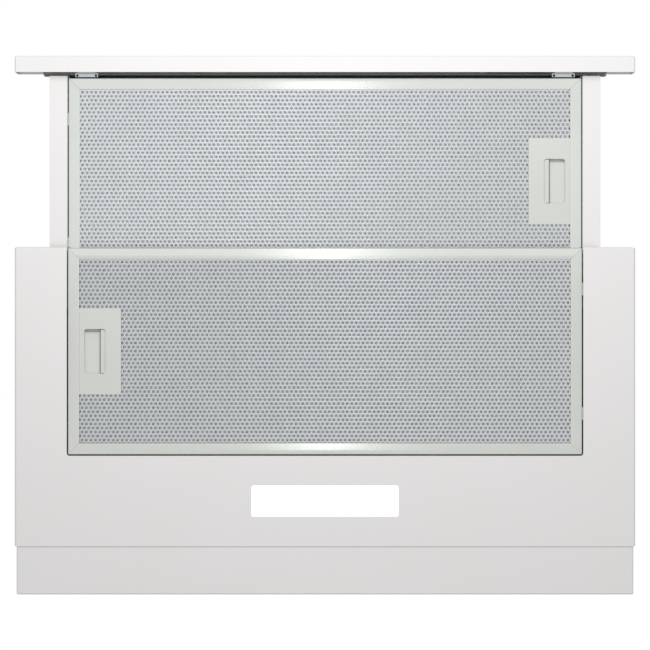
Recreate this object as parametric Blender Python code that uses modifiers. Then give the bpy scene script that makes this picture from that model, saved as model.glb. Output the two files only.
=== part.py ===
"""Telescopic (slide-out) under cabinet range hood, 60 cm wide, modelled in metres.

+Z is up, the front faces -Y and X = 0 is the middle of the hood.  The origin lies on the top face of
the pan's front flange, which is pressed against the underside of the cabinet.
"""
import math

import bmesh
import bpy
from mathutils import Matrix, Vector

# ---- driving dimensions ------------------------------------------------------------------------
HOOD_WIDTH = 0.598
PAN_DEPTH = 0.2885
PAN_HEIGHT = 0.041
SHEET = 0.001            # folded steel
GAP = 0.0003             # between touching pieces
FRONT_FLANGE = 0.024     # pan's top flange in front of the fan box
TOP_LEDGE = 0.0135       # flange that the fan box stands on
PAN_HEM = 0.005          # folded front edge of the pan's arms
REAR_WALL_INSET = 0.0225  # pan's rear wall, measured from its rear edge
FIXING_INSET = 0.018     # cabinet screws, measured from the pan's sides
FIXING_RADIUS = 0.0025
FIXING_FRONT = 0.050     # front screws behind the pan's front edge
FIXING_REAR = 0.030      # rear screws in front of the pan's inner wall

BOX_WIDTH = 0.526
BOX_SETBACK = 0.0095     # fan box in front of the pan's rear edge
BOX_HEIGHT = 0.162
BOX_SEAT = 0.001         # depth of the step in the pan's top that the fan box stands in
GLAND_PLACE = (0.205, 0.225)
GLAND_RADIUS = 0.006
GLAND_NUT_RADIUS = 0.009
GLAND_BORE_RADIUS = 0.0036
GLAND_NUT_THICK = 0.0055
GLAND_ABOVE = 0.012
GLAND_BELOW = 0.008

FILTER_WIDTH = 0.4954
FILTER_DEPTH = 0.199
FILTER_THICK = 0.009
FILTER_RAIL = 0.0106     # visible width of the frame's channel
FILTER_SKIN = 0.0008     # aluminium strip of the channel
FILTER_CLEAR = 0.0012    # filter to the edge of the pan's opening
FILTER_SETBACK = 0.001   # body filter behind the pan's front edge
LUG_WIDTH = 0.012
LUG_OUT = 0.002
LUG_SPREAD = 0.06        # lugs either side of the filter's middle
LUG_LOW = 0.004          # lug's underside above the filter's underside
LUG_THICK = 0.0025
LUG_CLEAR = 0.0005       # lug and bolt to the slots that they sit in
HOLDER_WIDTH = 0.013     # hinge bracket and catch beside the opening
HOLDER_MARGIN = 0.010    # hinge bracket past its outer lugs
CATCH_HALF = 0.018

MESH_THICK = 0.0015      # layer of expanded aluminium
PAD_THICK = 0.0032       # crimped mesh between the two layers

LATCH_WIDTH = 0.0405
LATCH_DEPTH = 0.083
LATCH_THICK = 0.0075
RECESS_WIDTH = 0.0204
RECESS_DEPTH = 0.043
RECESS_SETBACK = 0.0048  # recess to the outer edge of the latch plate
RECESS_FLOOR = 0.0045
RECESS_RADIUS = 0.0025
LEDGE_WIDTH = 0.0048
LATCH_TRAVEL = 0.005
LATCH_SKIN = 0.0012
BOLT_WIDTH = 0.02
BOLT_OUT = 0.0009
BOLT_RISE = 0.0013       # bolt's underside above the recess's floor
SPRING_RADIUS = 0.0021
SPRING_LENGTH = 0.0095
SPRING_WIRE = 0.0003

DRAWER_TRAVEL = 0.168
DRAWER_CLEAR = 0.001     # drawer's underside above the body filter
DRAWER_TOP = 0.0034      # drawer's top cover below the pan's top
DRAWER_ENGAGED = 0.0585  # length of drawer still in the pan when it is out
RAIL_WIDTH = 0.0174
RAIL_CLEAR = 0.0009      # side rail to the end of the drawer filter
RUNNER_LENGTH = 0.226
RUNNER_SETBACK = 0.003   # fixed runner behind the pan's front edge
RUNNER_WIDTH = 0.0062
RUNNER_LIP = 0.004       # runner's channel inside the side rail
FASCIA_DEPTH = 0.0157
FASCIA_SHEET = 0.0012
FASCIA_DROP = 0.0005     # fascia's top below the cabinet
CAP_WALL = 0.002
FASCIA_TO_RAIL = 0.0031
FASCIA_TO_FILTER = 0.0053
FASCIA_CAP = 0.027       # plastic cap in each end of the fascia
CLIP_WIDTH = 0.022
CLIP_INSET = 0.0175      # clip's middle from the end of the drawer filter
CLIP_DEPTH = 0.0041
CLIP_NOTCH = 0.0025      # plate wider than the foot, each end
CLIP_FOOT = 0.007        # foot's reach into the fascia
CLIP_SCREW_RADIUS = 0.0009
CLIP_STRIP = 0.0008
CLIP_STEP = 0.0001       # foot behind the plate's front edge
CLIP_TAB = 0.012         # tab up to the front crossmember
CLIP_SCREW_INSET = 0.002
CLIP_SCREW_LENGTH = 0.0025
CROSS_GAP = 0.0015       # fascia to the drawer's front crossmember
CROSS_RISE = 0.003
CROSS_LIP = 0.008
CROSS_LIP_DROP = 0.0025

LAMP_WIDTH = 0.1425
LAMP_DEPTH = 0.0308
LAMP_SETBACK = 0.0435     # middle of the window in front of the pan's rear edge
LAMP_RADIUS = 0.003
LAMP_HEIGHT = 0.018
LAMP_RIM = 0.002         # lens flange past the window, each side
LAMP_FLANGE = 0.0015
LAMP_WALL = 0.0012
LED_BOARD_DEPTH = 0.022
LED_BOARD_THICK = 0.0016

SPACER_WIDTH = 0.5946
SPACER_SHOWN = 0.0465
SPACER_HIDDEN = 0.008

DUCT_DIAMETER = 0.1196
COLLAR_HEIGHT = 0.036
COLLAR_WALL = 0.002
COLLAR_FLANGE = 0.006
LEDGE_RISE = 0.011       # flap seat above the collar's foot
LEDGE_WIDTH_IN = 0.0026
LEDGE_THICK = 0.0015
FLAP_THICK = 0.0015
FLAP_CLEAR = 0.001
FLAP_PIVOT_OFFSET = 0.0025
FLAP_PIVOT_RADIUS = 0.0015

IMPELLER_RADIUS = 0.055
IMPELLER_WIDTH = 0.088
BLADE_DEPTH = 0.008
BLADES = 28
IMPELLER_DISC = 0.002
BLADE_PITCH = math.radians(35)
HUB_RADIUS = 0.009
HUB_LOW = -0.012
HUB_HIGH = 0.003
NUT_RADIUS = 0.0072
NUT_THICK = 0.0042
SHAFT_RADIUS = 0.004
SHAFT_IN_MOTOR = 0.018
MOTOR_FRONT = 0.006
MOTOR_NOSE_RADIUS = 0.013
MOTOR_NOSE = 0.004
BRACKET_THICK = 0.002
BRACKET_ARM = 0.012
BRACKET_LAP = 0.009      # arms past the edge of the fan's inlet
MOTOR_CLEAR = 0.009      # motor to the inside of the blades
SCROLL_SIDE_CLEAR = 0.006
SCROLL_WALL = 0.002
SCROLL_CLEAR = 0.006     # impeller to the tongue
SCROLL_GROWTH = 0.025    # from the tongue round to the neck
SCROLL_TONGUE = math.radians(100)

CONTROL_BOX_WALL = 0.002
CONTROL_BOX_LOW = (0.150, 0.150)
CONTROL_BOX_HIGH = (0.240, 0.205)
CONTROL_BOX_DROP = 0.042
BOARD_RISE = 0.012
BOARD_THICK = 0.0016
CAPACITOR_RADIUS = 0.0175
CAPACITOR_LENGTH = 0.055
CAPACITOR_Y = 0.095

FAN_KNOB_TRAVEL = 0.024
LIGHT_KNOB_TRAVEL = 0.008
KNOB_WIDTH = 0.010
KNOB_HEIGHT = 0.0045
CONTROL_CENTRE = 0.197
CONTROL_WIDTH = 0.094
CONTROL_HEIGHT = 0.018
BEZEL_THICK = 0.002
BEZEL_SETBACK = 0.0008   # bezel's face behind the fascia's
SLOT_CLEAR = 0.0006
UNIT_HALF = 0.040
UNIT_GAP = 0.0045        # bezel's face to the switch unit
FAN_KNOB_START = -0.036  # knobs' low ends from the middle of the controls
LIGHT_KNOB_START = 0.018

# ---- places that follow from them --------------------------------------------------------------
PAN_FRONT = -FRONT_FLANGE / 2
PAN_REAR = PAN_FRONT + PAN_DEPTH
PAN_BOTTOM = -PAN_HEIGHT
PAN_FLOOR = PAN_BOTTOM + SHEET
PAN_INNER_WALL = PAN_REAR - REAR_WALL_INSET
BOX_FRONT = PAN_FRONT + FRONT_FLANGE
BOX_REAR = PAN_REAR - BOX_SETBACK
BOX_ROOF = BOX_HEIGHT - SHEET
OPENING_HALF = FILTER_WIDTH / 2 + FILTER_CLEAR
OPENING_REAR = PAN_FRONT + FILTER_SETBACK + FILTER_DEPTH + FILTER_CLEAR
TOP_HOLE_HALF = BOX_WIDTH / 2 - TOP_LEDGE
TOP_HOLE_FRONT = BOX_FRONT + TOP_LEDGE
TOP_HOLE_REAR = PAN_INNER_WALL - 2 * SHEET
BODY_FILTER_Y = PAN_FRONT + FILTER_SETBACK + FILTER_DEPTH / 2
FASCIA_REAR = PAN_FRONT - DRAWER_TRAVEL - 2 * GAP
FASCIA_FRONT = FASCIA_REAR - FASCIA_DEPTH
DRAWER_FILTER_Y = FASCIA_REAR + FASCIA_TO_FILTER + FILTER_DEPTH / 2
DRAWER_BOTTOM = PAN_BOTTOM + FILTER_THICK + DRAWER_CLEAR
DRAWER_REAR = PAN_FRONT + DRAWER_ENGAGED
RAIL_FRONT = FASCIA_REAR + FASCIA_TO_RAIL
RAIL_INNER = FILTER_WIDTH / 2 + RAIL_CLEAR
RAIL_OUTER = RAIL_INNER + RAIL_WIDTH
RAIL_TOP = -DRAWER_TOP - SHEET - GAP
LAMP_Y = PAN_REAR - LAMP_SETBACK
COLLAR_Y = (BOX_FRONT + BOX_REAR) / 2
SCROLL_WIDTH = IMPELLER_WIDTH + 2 * (SCROLL_SIDE_CLEAR + SCROLL_WALL)
SCROLL_START = IMPELLER_RADIUS + SCROLL_CLEAR
SCROLL_END = SCROLL_START + SCROLL_GROWTH
MOTOR_RADIUS = IMPELLER_RADIUS - BLADE_DEPTH - MOTOR_CLEAR
TONGUE_Y = SCROLL_START * math.cos(SCROLL_TONGUE)
FAN_Y = COLLAR_Y - (SCROLL_END + TONGUE_Y) / 2
FAN_Z = BOX_HEIGHT / 2 + SHEET
NECK_TOP = BOX_ROOF - GAP
COLLAR_LOW = BOX_HEIGHT + GAP
LEDGE_TOP = COLLAR_LOW + LEDGE_RISE
PIVOT_Z = LEDGE_TOP + GAP + FLAP_THICK + 0.0005
FASCIA_OPEN = HOOD_WIDTH / 2 - FASCIA_CAP
CONTROL_Z = PAN_BOTTOM / 2 - SHEET
CLIP_CENTRE = FILTER_WIDTH / 2 - CLIP_INSET

for old in list(bpy.data.objects):
    bpy.data.objects.remove(old, do_unlink=True)

hood = bpy.data.collections.new("under_cabinet_range_hood")
tools = bpy.data.collections.new("cutters")
bpy.context.scene.collection.children.link(hood)
bpy.context.scene.collection.children.link(tools)


# ---- shape helpers -----------------------------------------------------------------------------
def add_object(name, mesh, collection):
    piece = bpy.data.objects.new(name, mesh)
    collection.objects.link(piece)
    if collection is tools:
        piece.hide_render = True
        piece.display_type = "WIRE"
    return piece


def block(name, low, high, collection=hood):
    """A box between two corners, with its origin at its middle."""
    low, high = Vector(low), Vector(high)
    mesh = bpy.data.meshes.new(name)
    shape = bmesh.new()
    bmesh.ops.create_cube(shape, size=1)
    bmesh.ops.scale(shape, vec=high - low, verts=shape.verts)
    shape.to_mesh(mesh)
    shape.free()
    piece = add_object(name, mesh, collection)
    piece.location = (low + high) / 2
    return piece


def rod(name, start, end, radius, collection=hood, sides=24):
    """A cylinder from start to end, with its origin at its middle."""
    start, end = Vector(start), Vector(end)
    mesh = bpy.data.meshes.new(name)
    shape = bmesh.new()
    bmesh.ops.create_cone(shape, cap_ends=True, segments=sides, radius1=radius, radius2=radius,
                          depth=(end - start).length)
    shape.to_mesh(mesh)
    shape.free()
    mesh.shade_smooth()
    mesh.set_sharp_from_angle(angle=math.radians(40))
    piece = add_object(name, mesh, collection)
    piece.rotation_euler = (end - start).to_track_quat("Z", "Y").to_euler()
    piece.location = (start + end) / 2
    return piece


def plate(name, outline, low, high, collection=hood, along_x=False):
    """A flat outline extruded from low to high, along Z, or along X from an outline in Y and Z."""
    curve = bpy.data.curves.new(name, "CURVE")
    curve.dimensions = "2D"
    curve.fill_mode = "BOTH"
    curve.extrude = (high - low) / 2
    line = curve.splines.new("POLY")
    line.points.add(len(outline) - 1)
    for point, (across, along) in zip(line.points, outline):
        point.co = (across, along, 0, 1)
    line.use_cyclic_u = True
    flat = add_object(name, curve, tools)
    bpy.context.view_layer.update()
    ready = flat.evaluated_get(bpy.context.evaluated_depsgraph_get())
    mesh = bpy.data.meshes.new_from_object(ready)
    bpy.data.objects.remove(flat, do_unlink=True)
    shape = bmesh.new()
    shape.from_mesh(mesh)
    bmesh.ops.remove_doubles(shape, verts=shape.verts, dist=1e-6)
    bmesh.ops.recalc_face_normals(shape, faces=shape.faces)
    shape.to_mesh(mesh)
    shape.free()
    mesh.name = name
    piece = add_object(name, mesh, collection)
    middle = (low + high) / 2
    if along_x:
        piece.matrix_world = Matrix(((0, 0, 1, middle), (1, 0, 0, 0), (0, 1, 0, 0), (0, 0, 0, 1)))
    else:
        piece.location.z = middle
    return piece


def rounded_outline(centre, width, depth, radius, steps=5):
    """Corner points of a rectangle with round corners."""
    points = []
    for corner, (sx, sy) in enumerate(((1, 1), (-1, 1), (-1, -1), (1, -1))):
        for step in range(steps + 1):
            angle = math.radians(90 * corner + 90 * step / steps)
            points.append((centre[0] + sx * (width / 2 - radius) + radius * math.cos(angle),
                           centre[1] + sy * (depth / 2 - radius) + radius * math.sin(angle)))
    return points


def turned(name, profile, centre, sides=48):
    """A profile of (radius, height) points, closed and turned about the Z axis through centre."""
    mesh = bpy.data.meshes.new(name)
    shape = bmesh.new()
    corners = [shape.verts.new((radius, 0, height)) for radius, height in profile]
    for number, corner in enumerate(corners):
        shape.edges.new((corners[number - 1], corner))
    shape.to_mesh(mesh)
    shape.free()
    piece = add_object(name, mesh, hood)
    piece.location = centre
    screw = piece.modifiers.new("turn", "SCREW")
    screw.steps = sides
    screw.render_steps = sides
    screw.use_merge_vertices = True
    screw.merge_threshold = 0.00001
    screw.use_smooth_shade = False
    return piece


def boolean(piece, tool, operation):
    change = piece.modifiers.new(operation.lower(), "BOOLEAN")
    change.operation = operation
    change.solver = "EXACT"
    change.object = tool
    return piece


def cut(piece, tool):
    return boolean(piece, tool, "DIFFERENCE")


def cut_block(piece, low, high):
    return cut(piece, block(piece.name + "_cut", low, high, tools))


def join_block(piece, low, high):
    return boolean(piece, block(piece.name + "_join", low, high, tools), "UNION")


def cut_rod(piece, start, end, radius, sides=24):
    return cut(piece, rod(piece.name + "_bore", start, end, radius, tools, sides))


def sides_of(side, inner, outer):
    """The low and high X of a stretch from inner to outer, on the side +1 or -1."""
    return min(side * inner, side * outer), max(side * inner, side * outer)


def finish(name, colour, roughness, metallic=0.0):
    material = bpy.data.materials.new(name)
    material.use_nodes = True
    shader = material.node_tree.nodes["Principled BSDF"]
    shader.inputs["Base Color"].default_value = (*colour, 1)
    shader.inputs["Roughness"].default_value = roughness
    shader.inputs["Metallic"].default_value = metallic
    return material


WHITE_PAINT = ((0.83, 0.83, 0.82), 0.35, 0.0)
ALUMINIUM = ((0.66, 0.67, 0.65), 0.38, 1.0)
EXPANDED_ALUMINIUM = ((0.58, 0.60, 0.61), 0.35, 1.0)
GALVANISED = ((0.55, 0.57, 0.58), 0.45, 1.0)
SPRING_STEEL = ((0.50, 0.51, 0.53), 0.30, 1.0)
BLACK_PLASTIC = ((0.03, 0.03, 0.03), 0.5, 0.0)
GREY_PLASTIC = ((0.55, 0.56, 0.54), 0.5, 0.0)
WHITE_PLASTIC = ((0.80, 0.80, 0.79), 0.45, 0.0)
LENS_WHITE = ((0.95, 0.95, 0.93), 0.4, 0.0)
BOARD_GREEN = ((0.05, 0.22, 0.12), 0.5, 0.0)


def give(piece, look):
    """Give a piece its own material."""
    piece.data.materials.clear()
    piece.data.materials.append(finish(piece.name, *look))
    return piece


def body_empty(name, place):
    empty = bpy.data.objects.new(name, None)
    hood.objects.link(empty)
    empty.location = place
    return empty


def attach(empty, *pieces):
    """Hang pieces on a body's empty without moving them."""
    for piece in pieces:
        piece.parent = empty
        piece.location = piece.location - empty.location


# ---- pan: one folded sheet with an open front, a filter opening and a lamp window ---------------
def make_base_pan():
    half = HOOD_WIDTH / 2
    pan = block("base_pan", (-half, PAN_FRONT, PAN_BOTTOM), (half, PAN_REAR, 0))
    inner = half - SHEET
    cut_block(pan, (-inner, PAN_FRONT - SHEET, PAN_FLOOR), (inner, PAN_INNER_WALL - SHEET, -SHEET))
    cut_block(pan, (-inner, PAN_INNER_WALL, PAN_FLOOR), (inner, PAN_REAR + SHEET, -SHEET))
    cut_block(pan, (-OPENING_HALF, PAN_FRONT - SHEET, PAN_BOTTOM - SHEET),
              (OPENING_HALF, OPENING_REAR, PAN_FLOOR + SHEET))
    seat = BOX_WIDTH / 2 + GAP
    join_block(pan, (-seat - SHEET, BOX_FRONT - GAP - SHEET, -BOX_SEAT - SHEET),
               (seat + SHEET, BOX_REAR + GAP + SHEET, -SHEET / 2))
    cut_block(pan, (-seat, BOX_FRONT - GAP, -BOX_SEAT), (seat, BOX_REAR + GAP, SHEET))
    cut_block(pan, (-TOP_HOLE_HALF, TOP_HOLE_FRONT, -BOX_SEAT - 2 * SHEET),
              (TOP_HOLE_HALF, TOP_HOLE_REAR, SHEET))
    window = rounded_outline((0, LAMP_Y), LAMP_WIDTH + 2 * GAP, LAMP_DEPTH + 2 * GAP, LAMP_RADIUS + GAP)
    cut(pan, plate("lamp_window", window, PAN_BOTTOM - SHEET, PAN_FLOOR + SHEET, tools))
    for side in (-1, 1):
        low, high = sides_of(side, OPENING_HALF, inner + SHEET / 2)
        join_block(pan, (low, PAN_FRONT, PAN_FLOOR - SHEET / 2),
                   (high, PAN_FRONT + SHEET, PAN_BOTTOM + PAN_HEM))
        for hole_y in (PAN_FRONT + FIXING_FRONT, PAN_INNER_WALL - FIXING_REAR):
            hole_x = side * (half - FIXING_INSET)
            cut_rod(pan, (hole_x, hole_y, -2 * SHEET), (hole_x, hole_y, SHEET), FIXING_RADIUS, 12)
    give(pan, WHITE_PAINT)


# ---- wall spacer: a tray that telescopes into the back of the pan -------------------------------
def make_rear_spacer():
    half = SPACER_WIDTH / 2
    front = PAN_REAR - SPACER_HIDDEN
    rear = PAN_REAR + SPACER_SHOWN
    low, high = PAN_FLOOR + GAP, -BOX_SEAT - SHEET - GAP
    spacer = block("rear_spacer", (-half, front, low), (half, rear, high))
    cut_block(spacer, (SHEET - half, front - SHEET, low + SHEET),
              (half - SHEET, rear - SHEET, high - SHEET))
    return give(spacer, WHITE_PAINT)


# ---- lamp ---------------------------------------------------------------------------------------
def make_lamp():
    window = rounded_outline((0, LAMP_Y), LAMP_WIDTH, LAMP_DEPTH, LAMP_RADIUS)
    lens = plate("lamp_lens", window, PAN_BOTTOM, PAN_FLOOR + 2 * GAP)
    flange_low = PAN_FLOOR + GAP
    flange_high = flange_low + LAMP_FLANGE
    half_x, half_y = LAMP_WIDTH / 2 + LAMP_RIM, LAMP_DEPTH / 2 + LAMP_RIM
    flange = rounded_outline((0, LAMP_Y), 2 * half_x, 2 * half_y, LAMP_RADIUS + LAMP_RIM)
    boolean(lens, plate("lens_flange", flange, flange_low, flange_high, tools), "UNION")
    give(lens, LENS_WHITE)

    low = flange_high + GAP
    high = low + LAMP_HEIGHT
    housing = block("lamp_housing", (-half_x, LAMP_Y - half_y, low), (half_x, LAMP_Y + half_y, high))
    cut_block(housing, (LAMP_WALL - half_x, LAMP_Y - half_y + LAMP_WALL, low - LAMP_WALL),
              (half_x - LAMP_WALL, LAMP_Y + half_y - LAMP_WALL, high - LAMP_WALL))
    give(housing, WHITE_PLASTIC)

    board_top = high - LAMP_WALL - GAP
    board_half = half_x - 3 * LAMP_WALL
    board = block("led_board", (-board_half, LAMP_Y - LED_BOARD_DEPTH / 2, board_top - LED_BOARD_THICK),
                  (board_half, LAMP_Y + LED_BOARD_DEPTH / 2, board_top))
    give(board, WHITE_PLASTIC)


# ---- fan box and what it holds ------------------------------------------------------------------
def make_upper_box():
    half = BOX_WIDTH / 2
    foot = GAP - BOX_SEAT
    box = block("upper_box", (-half, BOX_FRONT, foot), (half, BOX_REAR, BOX_HEIGHT))
    cut_block(box, (SHEET - half, BOX_FRONT + SHEET, foot + SHEET),
              (half - SHEET, BOX_REAR - SHEET, BOX_ROOF))
    cut_block(box, (-TOP_HOLE_HALF, TOP_HOLE_FRONT, foot - SHEET),
              (TOP_HOLE_HALF, TOP_HOLE_REAR, foot + 2 * SHEET))
    hole = DUCT_DIAMETER / 2 - COLLAR_WALL
    cut_rod(box, (0, COLLAR_Y, BOX_ROOF - SHEET), (0, COLLAR_Y, BOX_HEIGHT + SHEET), hole, 48)
    cut_rod(box, (*GLAND_PLACE, BOX_ROOF - SHEET), (*GLAND_PLACE, BOX_HEIGHT + SHEET), GLAND_RADIUS + GAP)
    give(box, GALVANISED)


def make_cable_gland():
    """A threaded tube through the fan box's roof with a hexagon above and a nut below."""
    low, high = BOX_ROOF - GLAND_BELOW, BOX_HEIGHT + GLAND_ABOVE
    gland = rod("cable_gland", (*GLAND_PLACE, low), (*GLAND_PLACE, high), GLAND_RADIUS)
    for name, start, end in (("gland_collar", BOX_HEIGHT + GAP, BOX_HEIGHT + GLAND_NUT_THICK),
                             ("gland_nut", BOX_ROOF - GLAND_NUT_THICK, BOX_ROOF - GAP)):
        hexagon = rod(name, (*GLAND_PLACE, start), (*GLAND_PLACE, end), GLAND_NUT_RADIUS, tools, 6)
        boolean(gland, hexagon, "UNION")
    cut_rod(gland, (*GLAND_PLACE, low - SHEET), (*GLAND_PLACE, high + SHEET), GLAND_BORE_RADIUS, 16)
    give(gland, BLACK_PLASTIC)


def scroll_outline(grow, top):
    """The fan casing's spiral with its neck going straight up, in Y and Z, grown outwards by grow."""
    sweep = 2 * math.pi - SCROLL_TONGUE
    points = [(FAN_Y + TONGUE_Y - grow, top)]
    for step in range(25):
        angle = SCROLL_TONGUE + sweep * step / 24
        radius = SCROLL_START + SCROLL_GROWTH * step / 24 + grow
        points.append((FAN_Y + radius * math.cos(angle), FAN_Z + radius * math.sin(angle)))
    points[1] = (FAN_Y + TONGUE_Y - grow, points[1][1])
    points.append((FAN_Y + SCROLL_END + grow, top))
    return points


def make_scroll(side):
    name = "scroll_half_right" if side > 0 else "scroll_half_left"
    low, high = sides_of(side, GAP / 2, SCROLL_WIDTH / 2)
    casing = plate(name, scroll_outline(SCROLL_WALL, NECK_TOP), low, high, along_x=True)
    flange = DUCT_DIAMETER / 2 + SHEET
    flange_low, flange_high = sides_of(side, GAP / 2, flange)
    join_block(casing, (flange_low, COLLAR_Y - flange, NECK_TOP - SCROLL_WALL),
               (flange_high, COLLAR_Y + flange, NECK_TOP))
    room_low, room_high = sides_of(side, -SCROLL_WALL, SCROLL_WIDTH / 2 - SCROLL_WALL)
    room = plate(name + "_room", scroll_outline(0, NECK_TOP + SCROLL_WALL), room_low, room_high, tools, True)
    cut(casing, room)
    inlet = IMPELLER_RADIUS - BLADE_DEPTH - SHEET
    cut_rod(casing, (side * (SCROLL_WIDTH / 2 - 2 * SCROLL_WALL), FAN_Y, FAN_Z),
            (side * (SCROLL_WIDTH / 2 + SCROLL_WALL), FAN_Y, FAN_Z), inlet, 36)
    give(casing, BLACK_PLASTIC)


def on_fan_axis(x):
    return (x, FAN_Y, FAN_Z)


def make_impeller():
    """A double-sided wheel: a middle disc on a hub, blades both ways and a ring at each end."""
    disc = IMPELLER_DISC
    wheel = rod("impeller", on_fan_axis(-disc / 2), on_fan_axis(disc / 2), IMPELLER_RADIUS - SHEET, sides=36)
    hub = rod("hub", on_fan_axis(HUB_LOW), on_fan_axis(HUB_HIGH), HUB_RADIUS, tools)
    boolean(wheel, hub, "UNION")
    mesh = bpy.data.meshes.new("blades")
    shape = bmesh.new()
    pitch = Matrix.Rotation(BLADE_PITCH, 3, "X")
    for number in range(BLADES):
        made = bmesh.ops.create_cube(shape, size=1)["verts"]
        bmesh.ops.scale(shape, vec=(IMPELLER_WIDTH - disc, BLADE_DEPTH - SHEET, SHEET), verts=made)
        bmesh.ops.rotate(shape, verts=made, cent=(0, 0, 0), matrix=pitch)
        bmesh.ops.translate(shape, verts=made, vec=(0, IMPELLER_RADIUS - BLADE_DEPTH / 2, 0))
        turn = Matrix.Rotation(2 * math.pi * number / BLADES, 3, "X")
        bmesh.ops.rotate(shape, verts=made, cent=(0, 0, 0), matrix=turn)
    shape.to_mesh(mesh)
    shape.free()
    blades = add_object("blades", mesh, tools)
    blades.location = on_fan_axis(0)
    boolean(wheel, blades, "UNION")
    for side in (-1, 1):
        low, high = sides_of(side, IMPELLER_WIDTH / 2 - disc, IMPELLER_WIDTH / 2)
        ring = rod("end_ring", on_fan_axis(low), on_fan_axis(high), IMPELLER_RADIUS, tools, 36)
        cut_rod(ring, on_fan_axis(low - disc), on_fan_axis(high + disc), IMPELLER_RADIUS - BLADE_DEPTH, 36)
        boolean(wheel, ring, "UNION")
    bore = SHAFT_RADIUS + GAP
    cut_rod(wheel, on_fan_axis(2 * HUB_LOW), on_fan_axis(2 * HUB_HIGH), bore)
    give(wheel, BLACK_PLASTIC)

    nut_low = HUB_LOW - GAP - NUT_THICK
    nut = rod("hub_nut", on_fan_axis(nut_low), on_fan_axis(HUB_LOW - GAP), NUT_RADIUS, sides=6)
    cut_rod(nut, on_fan_axis(nut_low - SHEET), on_fan_axis(HUB_LOW + SHEET), bore)
    give(nut, SPRING_STEEL)
    shaft = rod("motor_shaft", on_fan_axis(nut_low - 2 * SHEET), on_fan_axis(MOTOR_FRONT + SHAFT_IN_MOTOR),
                SHAFT_RADIUS)
    give(shaft, SPRING_STEEL)
    return [wheel, nut, shaft]


def make_motor():
    """The motor can with its bearing nose, and the three-armed bracket behind it."""
    front, rear = MOTOR_FRONT + MOTOR_NOSE, SCROLL_WIDTH / 2
    motor = rod("motor_body", on_fan_axis(front), on_fan_axis(rear), MOTOR_RADIUS, sides=36)
    nose = rod("motor_nose", on_fan_axis(MOTOR_FRONT), on_fan_axis(front + SHEET), MOTOR_NOSE_RADIUS, tools)
    boolean(motor, nose, "UNION")
    bore_end = MOTOR_FRONT + SHAFT_IN_MOTOR + MOTOR_NOSE
    cut_rod(motor, on_fan_axis(MOTOR_FRONT - SHEET), on_fan_axis(bore_end), SHAFT_RADIUS + GAP)
    give(motor, SPRING_STEEL)

    low, high = rear + GAP, rear + GAP + BRACKET_THICK
    bracket = rod("motor_bracket", on_fan_axis(low), on_fan_axis(high), MOTOR_RADIUS * 0.6, sides=36)
    reach = IMPELLER_RADIUS - BLADE_DEPTH + BRACKET_LAP
    for arm in range(3):
        strip = block("bracket_arm", (-BRACKET_THICK / 2, -BRACKET_ARM / 2, 0),
                      (BRACKET_THICK / 2, BRACKET_ARM / 2, reach), tools)
        turn = Matrix.Rotation(math.radians(60 + 120 * arm), 4, "X")
        middle = Matrix.Translation(on_fan_axis((low + high) / 2))
        strip.matrix_world = middle @ turn @ Matrix.Translation((0, 0, reach / 2))
        boolean(bracket, strip, "UNION")
    give(bracket, GALVANISED)


def make_control_box():
    """The electronics box under the fan box's roof, its lid and board, and the motor's capacitor."""
    wall = CONTROL_BOX_WALL
    low = Vector((*CONTROL_BOX_LOW, BOX_ROOF - CONTROL_BOX_DROP))
    high = Vector((*CONTROL_BOX_HIGH, BOX_ROOF - GAP))
    box = block("control_box", low, high)
    cut_block(box, (low.x + wall, low.y + wall, low.z - wall), (high.x - wall, high.y - wall, high.z - wall))
    give(box, GREY_PLASTIC)

    edge = wall + GAP
    lid = block("control_box_lid", (low.x, low.y, low.z - edge), (high.x, high.y, low.z - GAP))
    join_block(lid, (low.x + edge, low.y + edge, low.z - wall), (high.x - edge, high.y - edge, low.z + wall))
    give(lid, GREY_PLASTIC)

    board_low = low.z + BOARD_RISE
    board = block("control_board", (low.x + edge, low.y + edge, board_low),
                  (high.x - edge, high.y - edge, board_low + BOARD_THICK))
    give(board, BOARD_GREEN)

    start = Vector((low.x, CAPACITOR_Y, BOX_ROOF - GAP - CAPACITOR_RADIUS))
    capacitor = rod("capacitor", start, start + Vector((CAPACITOR_LENGTH, 0, 0)), CAPACITOR_RADIUS)
    give(capacitor, WHITE_PLASTIC)


# ---- outlet collar with two non-return flaps ----------------------------------------------------
def make_outlet_collar():
    """The duct's spigot: a foot flange, a wall, and the inner ledge that the flaps rest on."""
    outer = DUCT_DIAMETER / 2
    inner = outer - COLLAR_WALL
    ledge = inner - LEDGE_WIDTH_IN
    ledge_low = LEDGE_RISE - LEDGE_THICK
    profile = [(outer, COLLAR_HEIGHT), (outer, COLLAR_WALL), (outer + COLLAR_FLANGE, COLLAR_WALL),
               (outer + COLLAR_FLANGE, 0), (inner, 0), (inner, ledge_low), (ledge, ledge_low),
               (ledge, LEDGE_RISE), (inner, LEDGE_RISE), (inner, COLLAR_HEIGHT)]
    collar = turned("outlet_collar", profile, (0, COLLAR_Y, COLLAR_LOW))
    reach = outer + COLLAR_FLANGE
    for side in (-1, 1):
        y = COLLAR_Y + side * FLAP_PIVOT_OFFSET
        cut_rod(collar, (-reach, y, PIVOT_Z), (reach, y, PIVOT_Z), FLAP_PIVOT_RADIUS + GAP, 12)
    give(collar, BLACK_PLASTIC)


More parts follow.
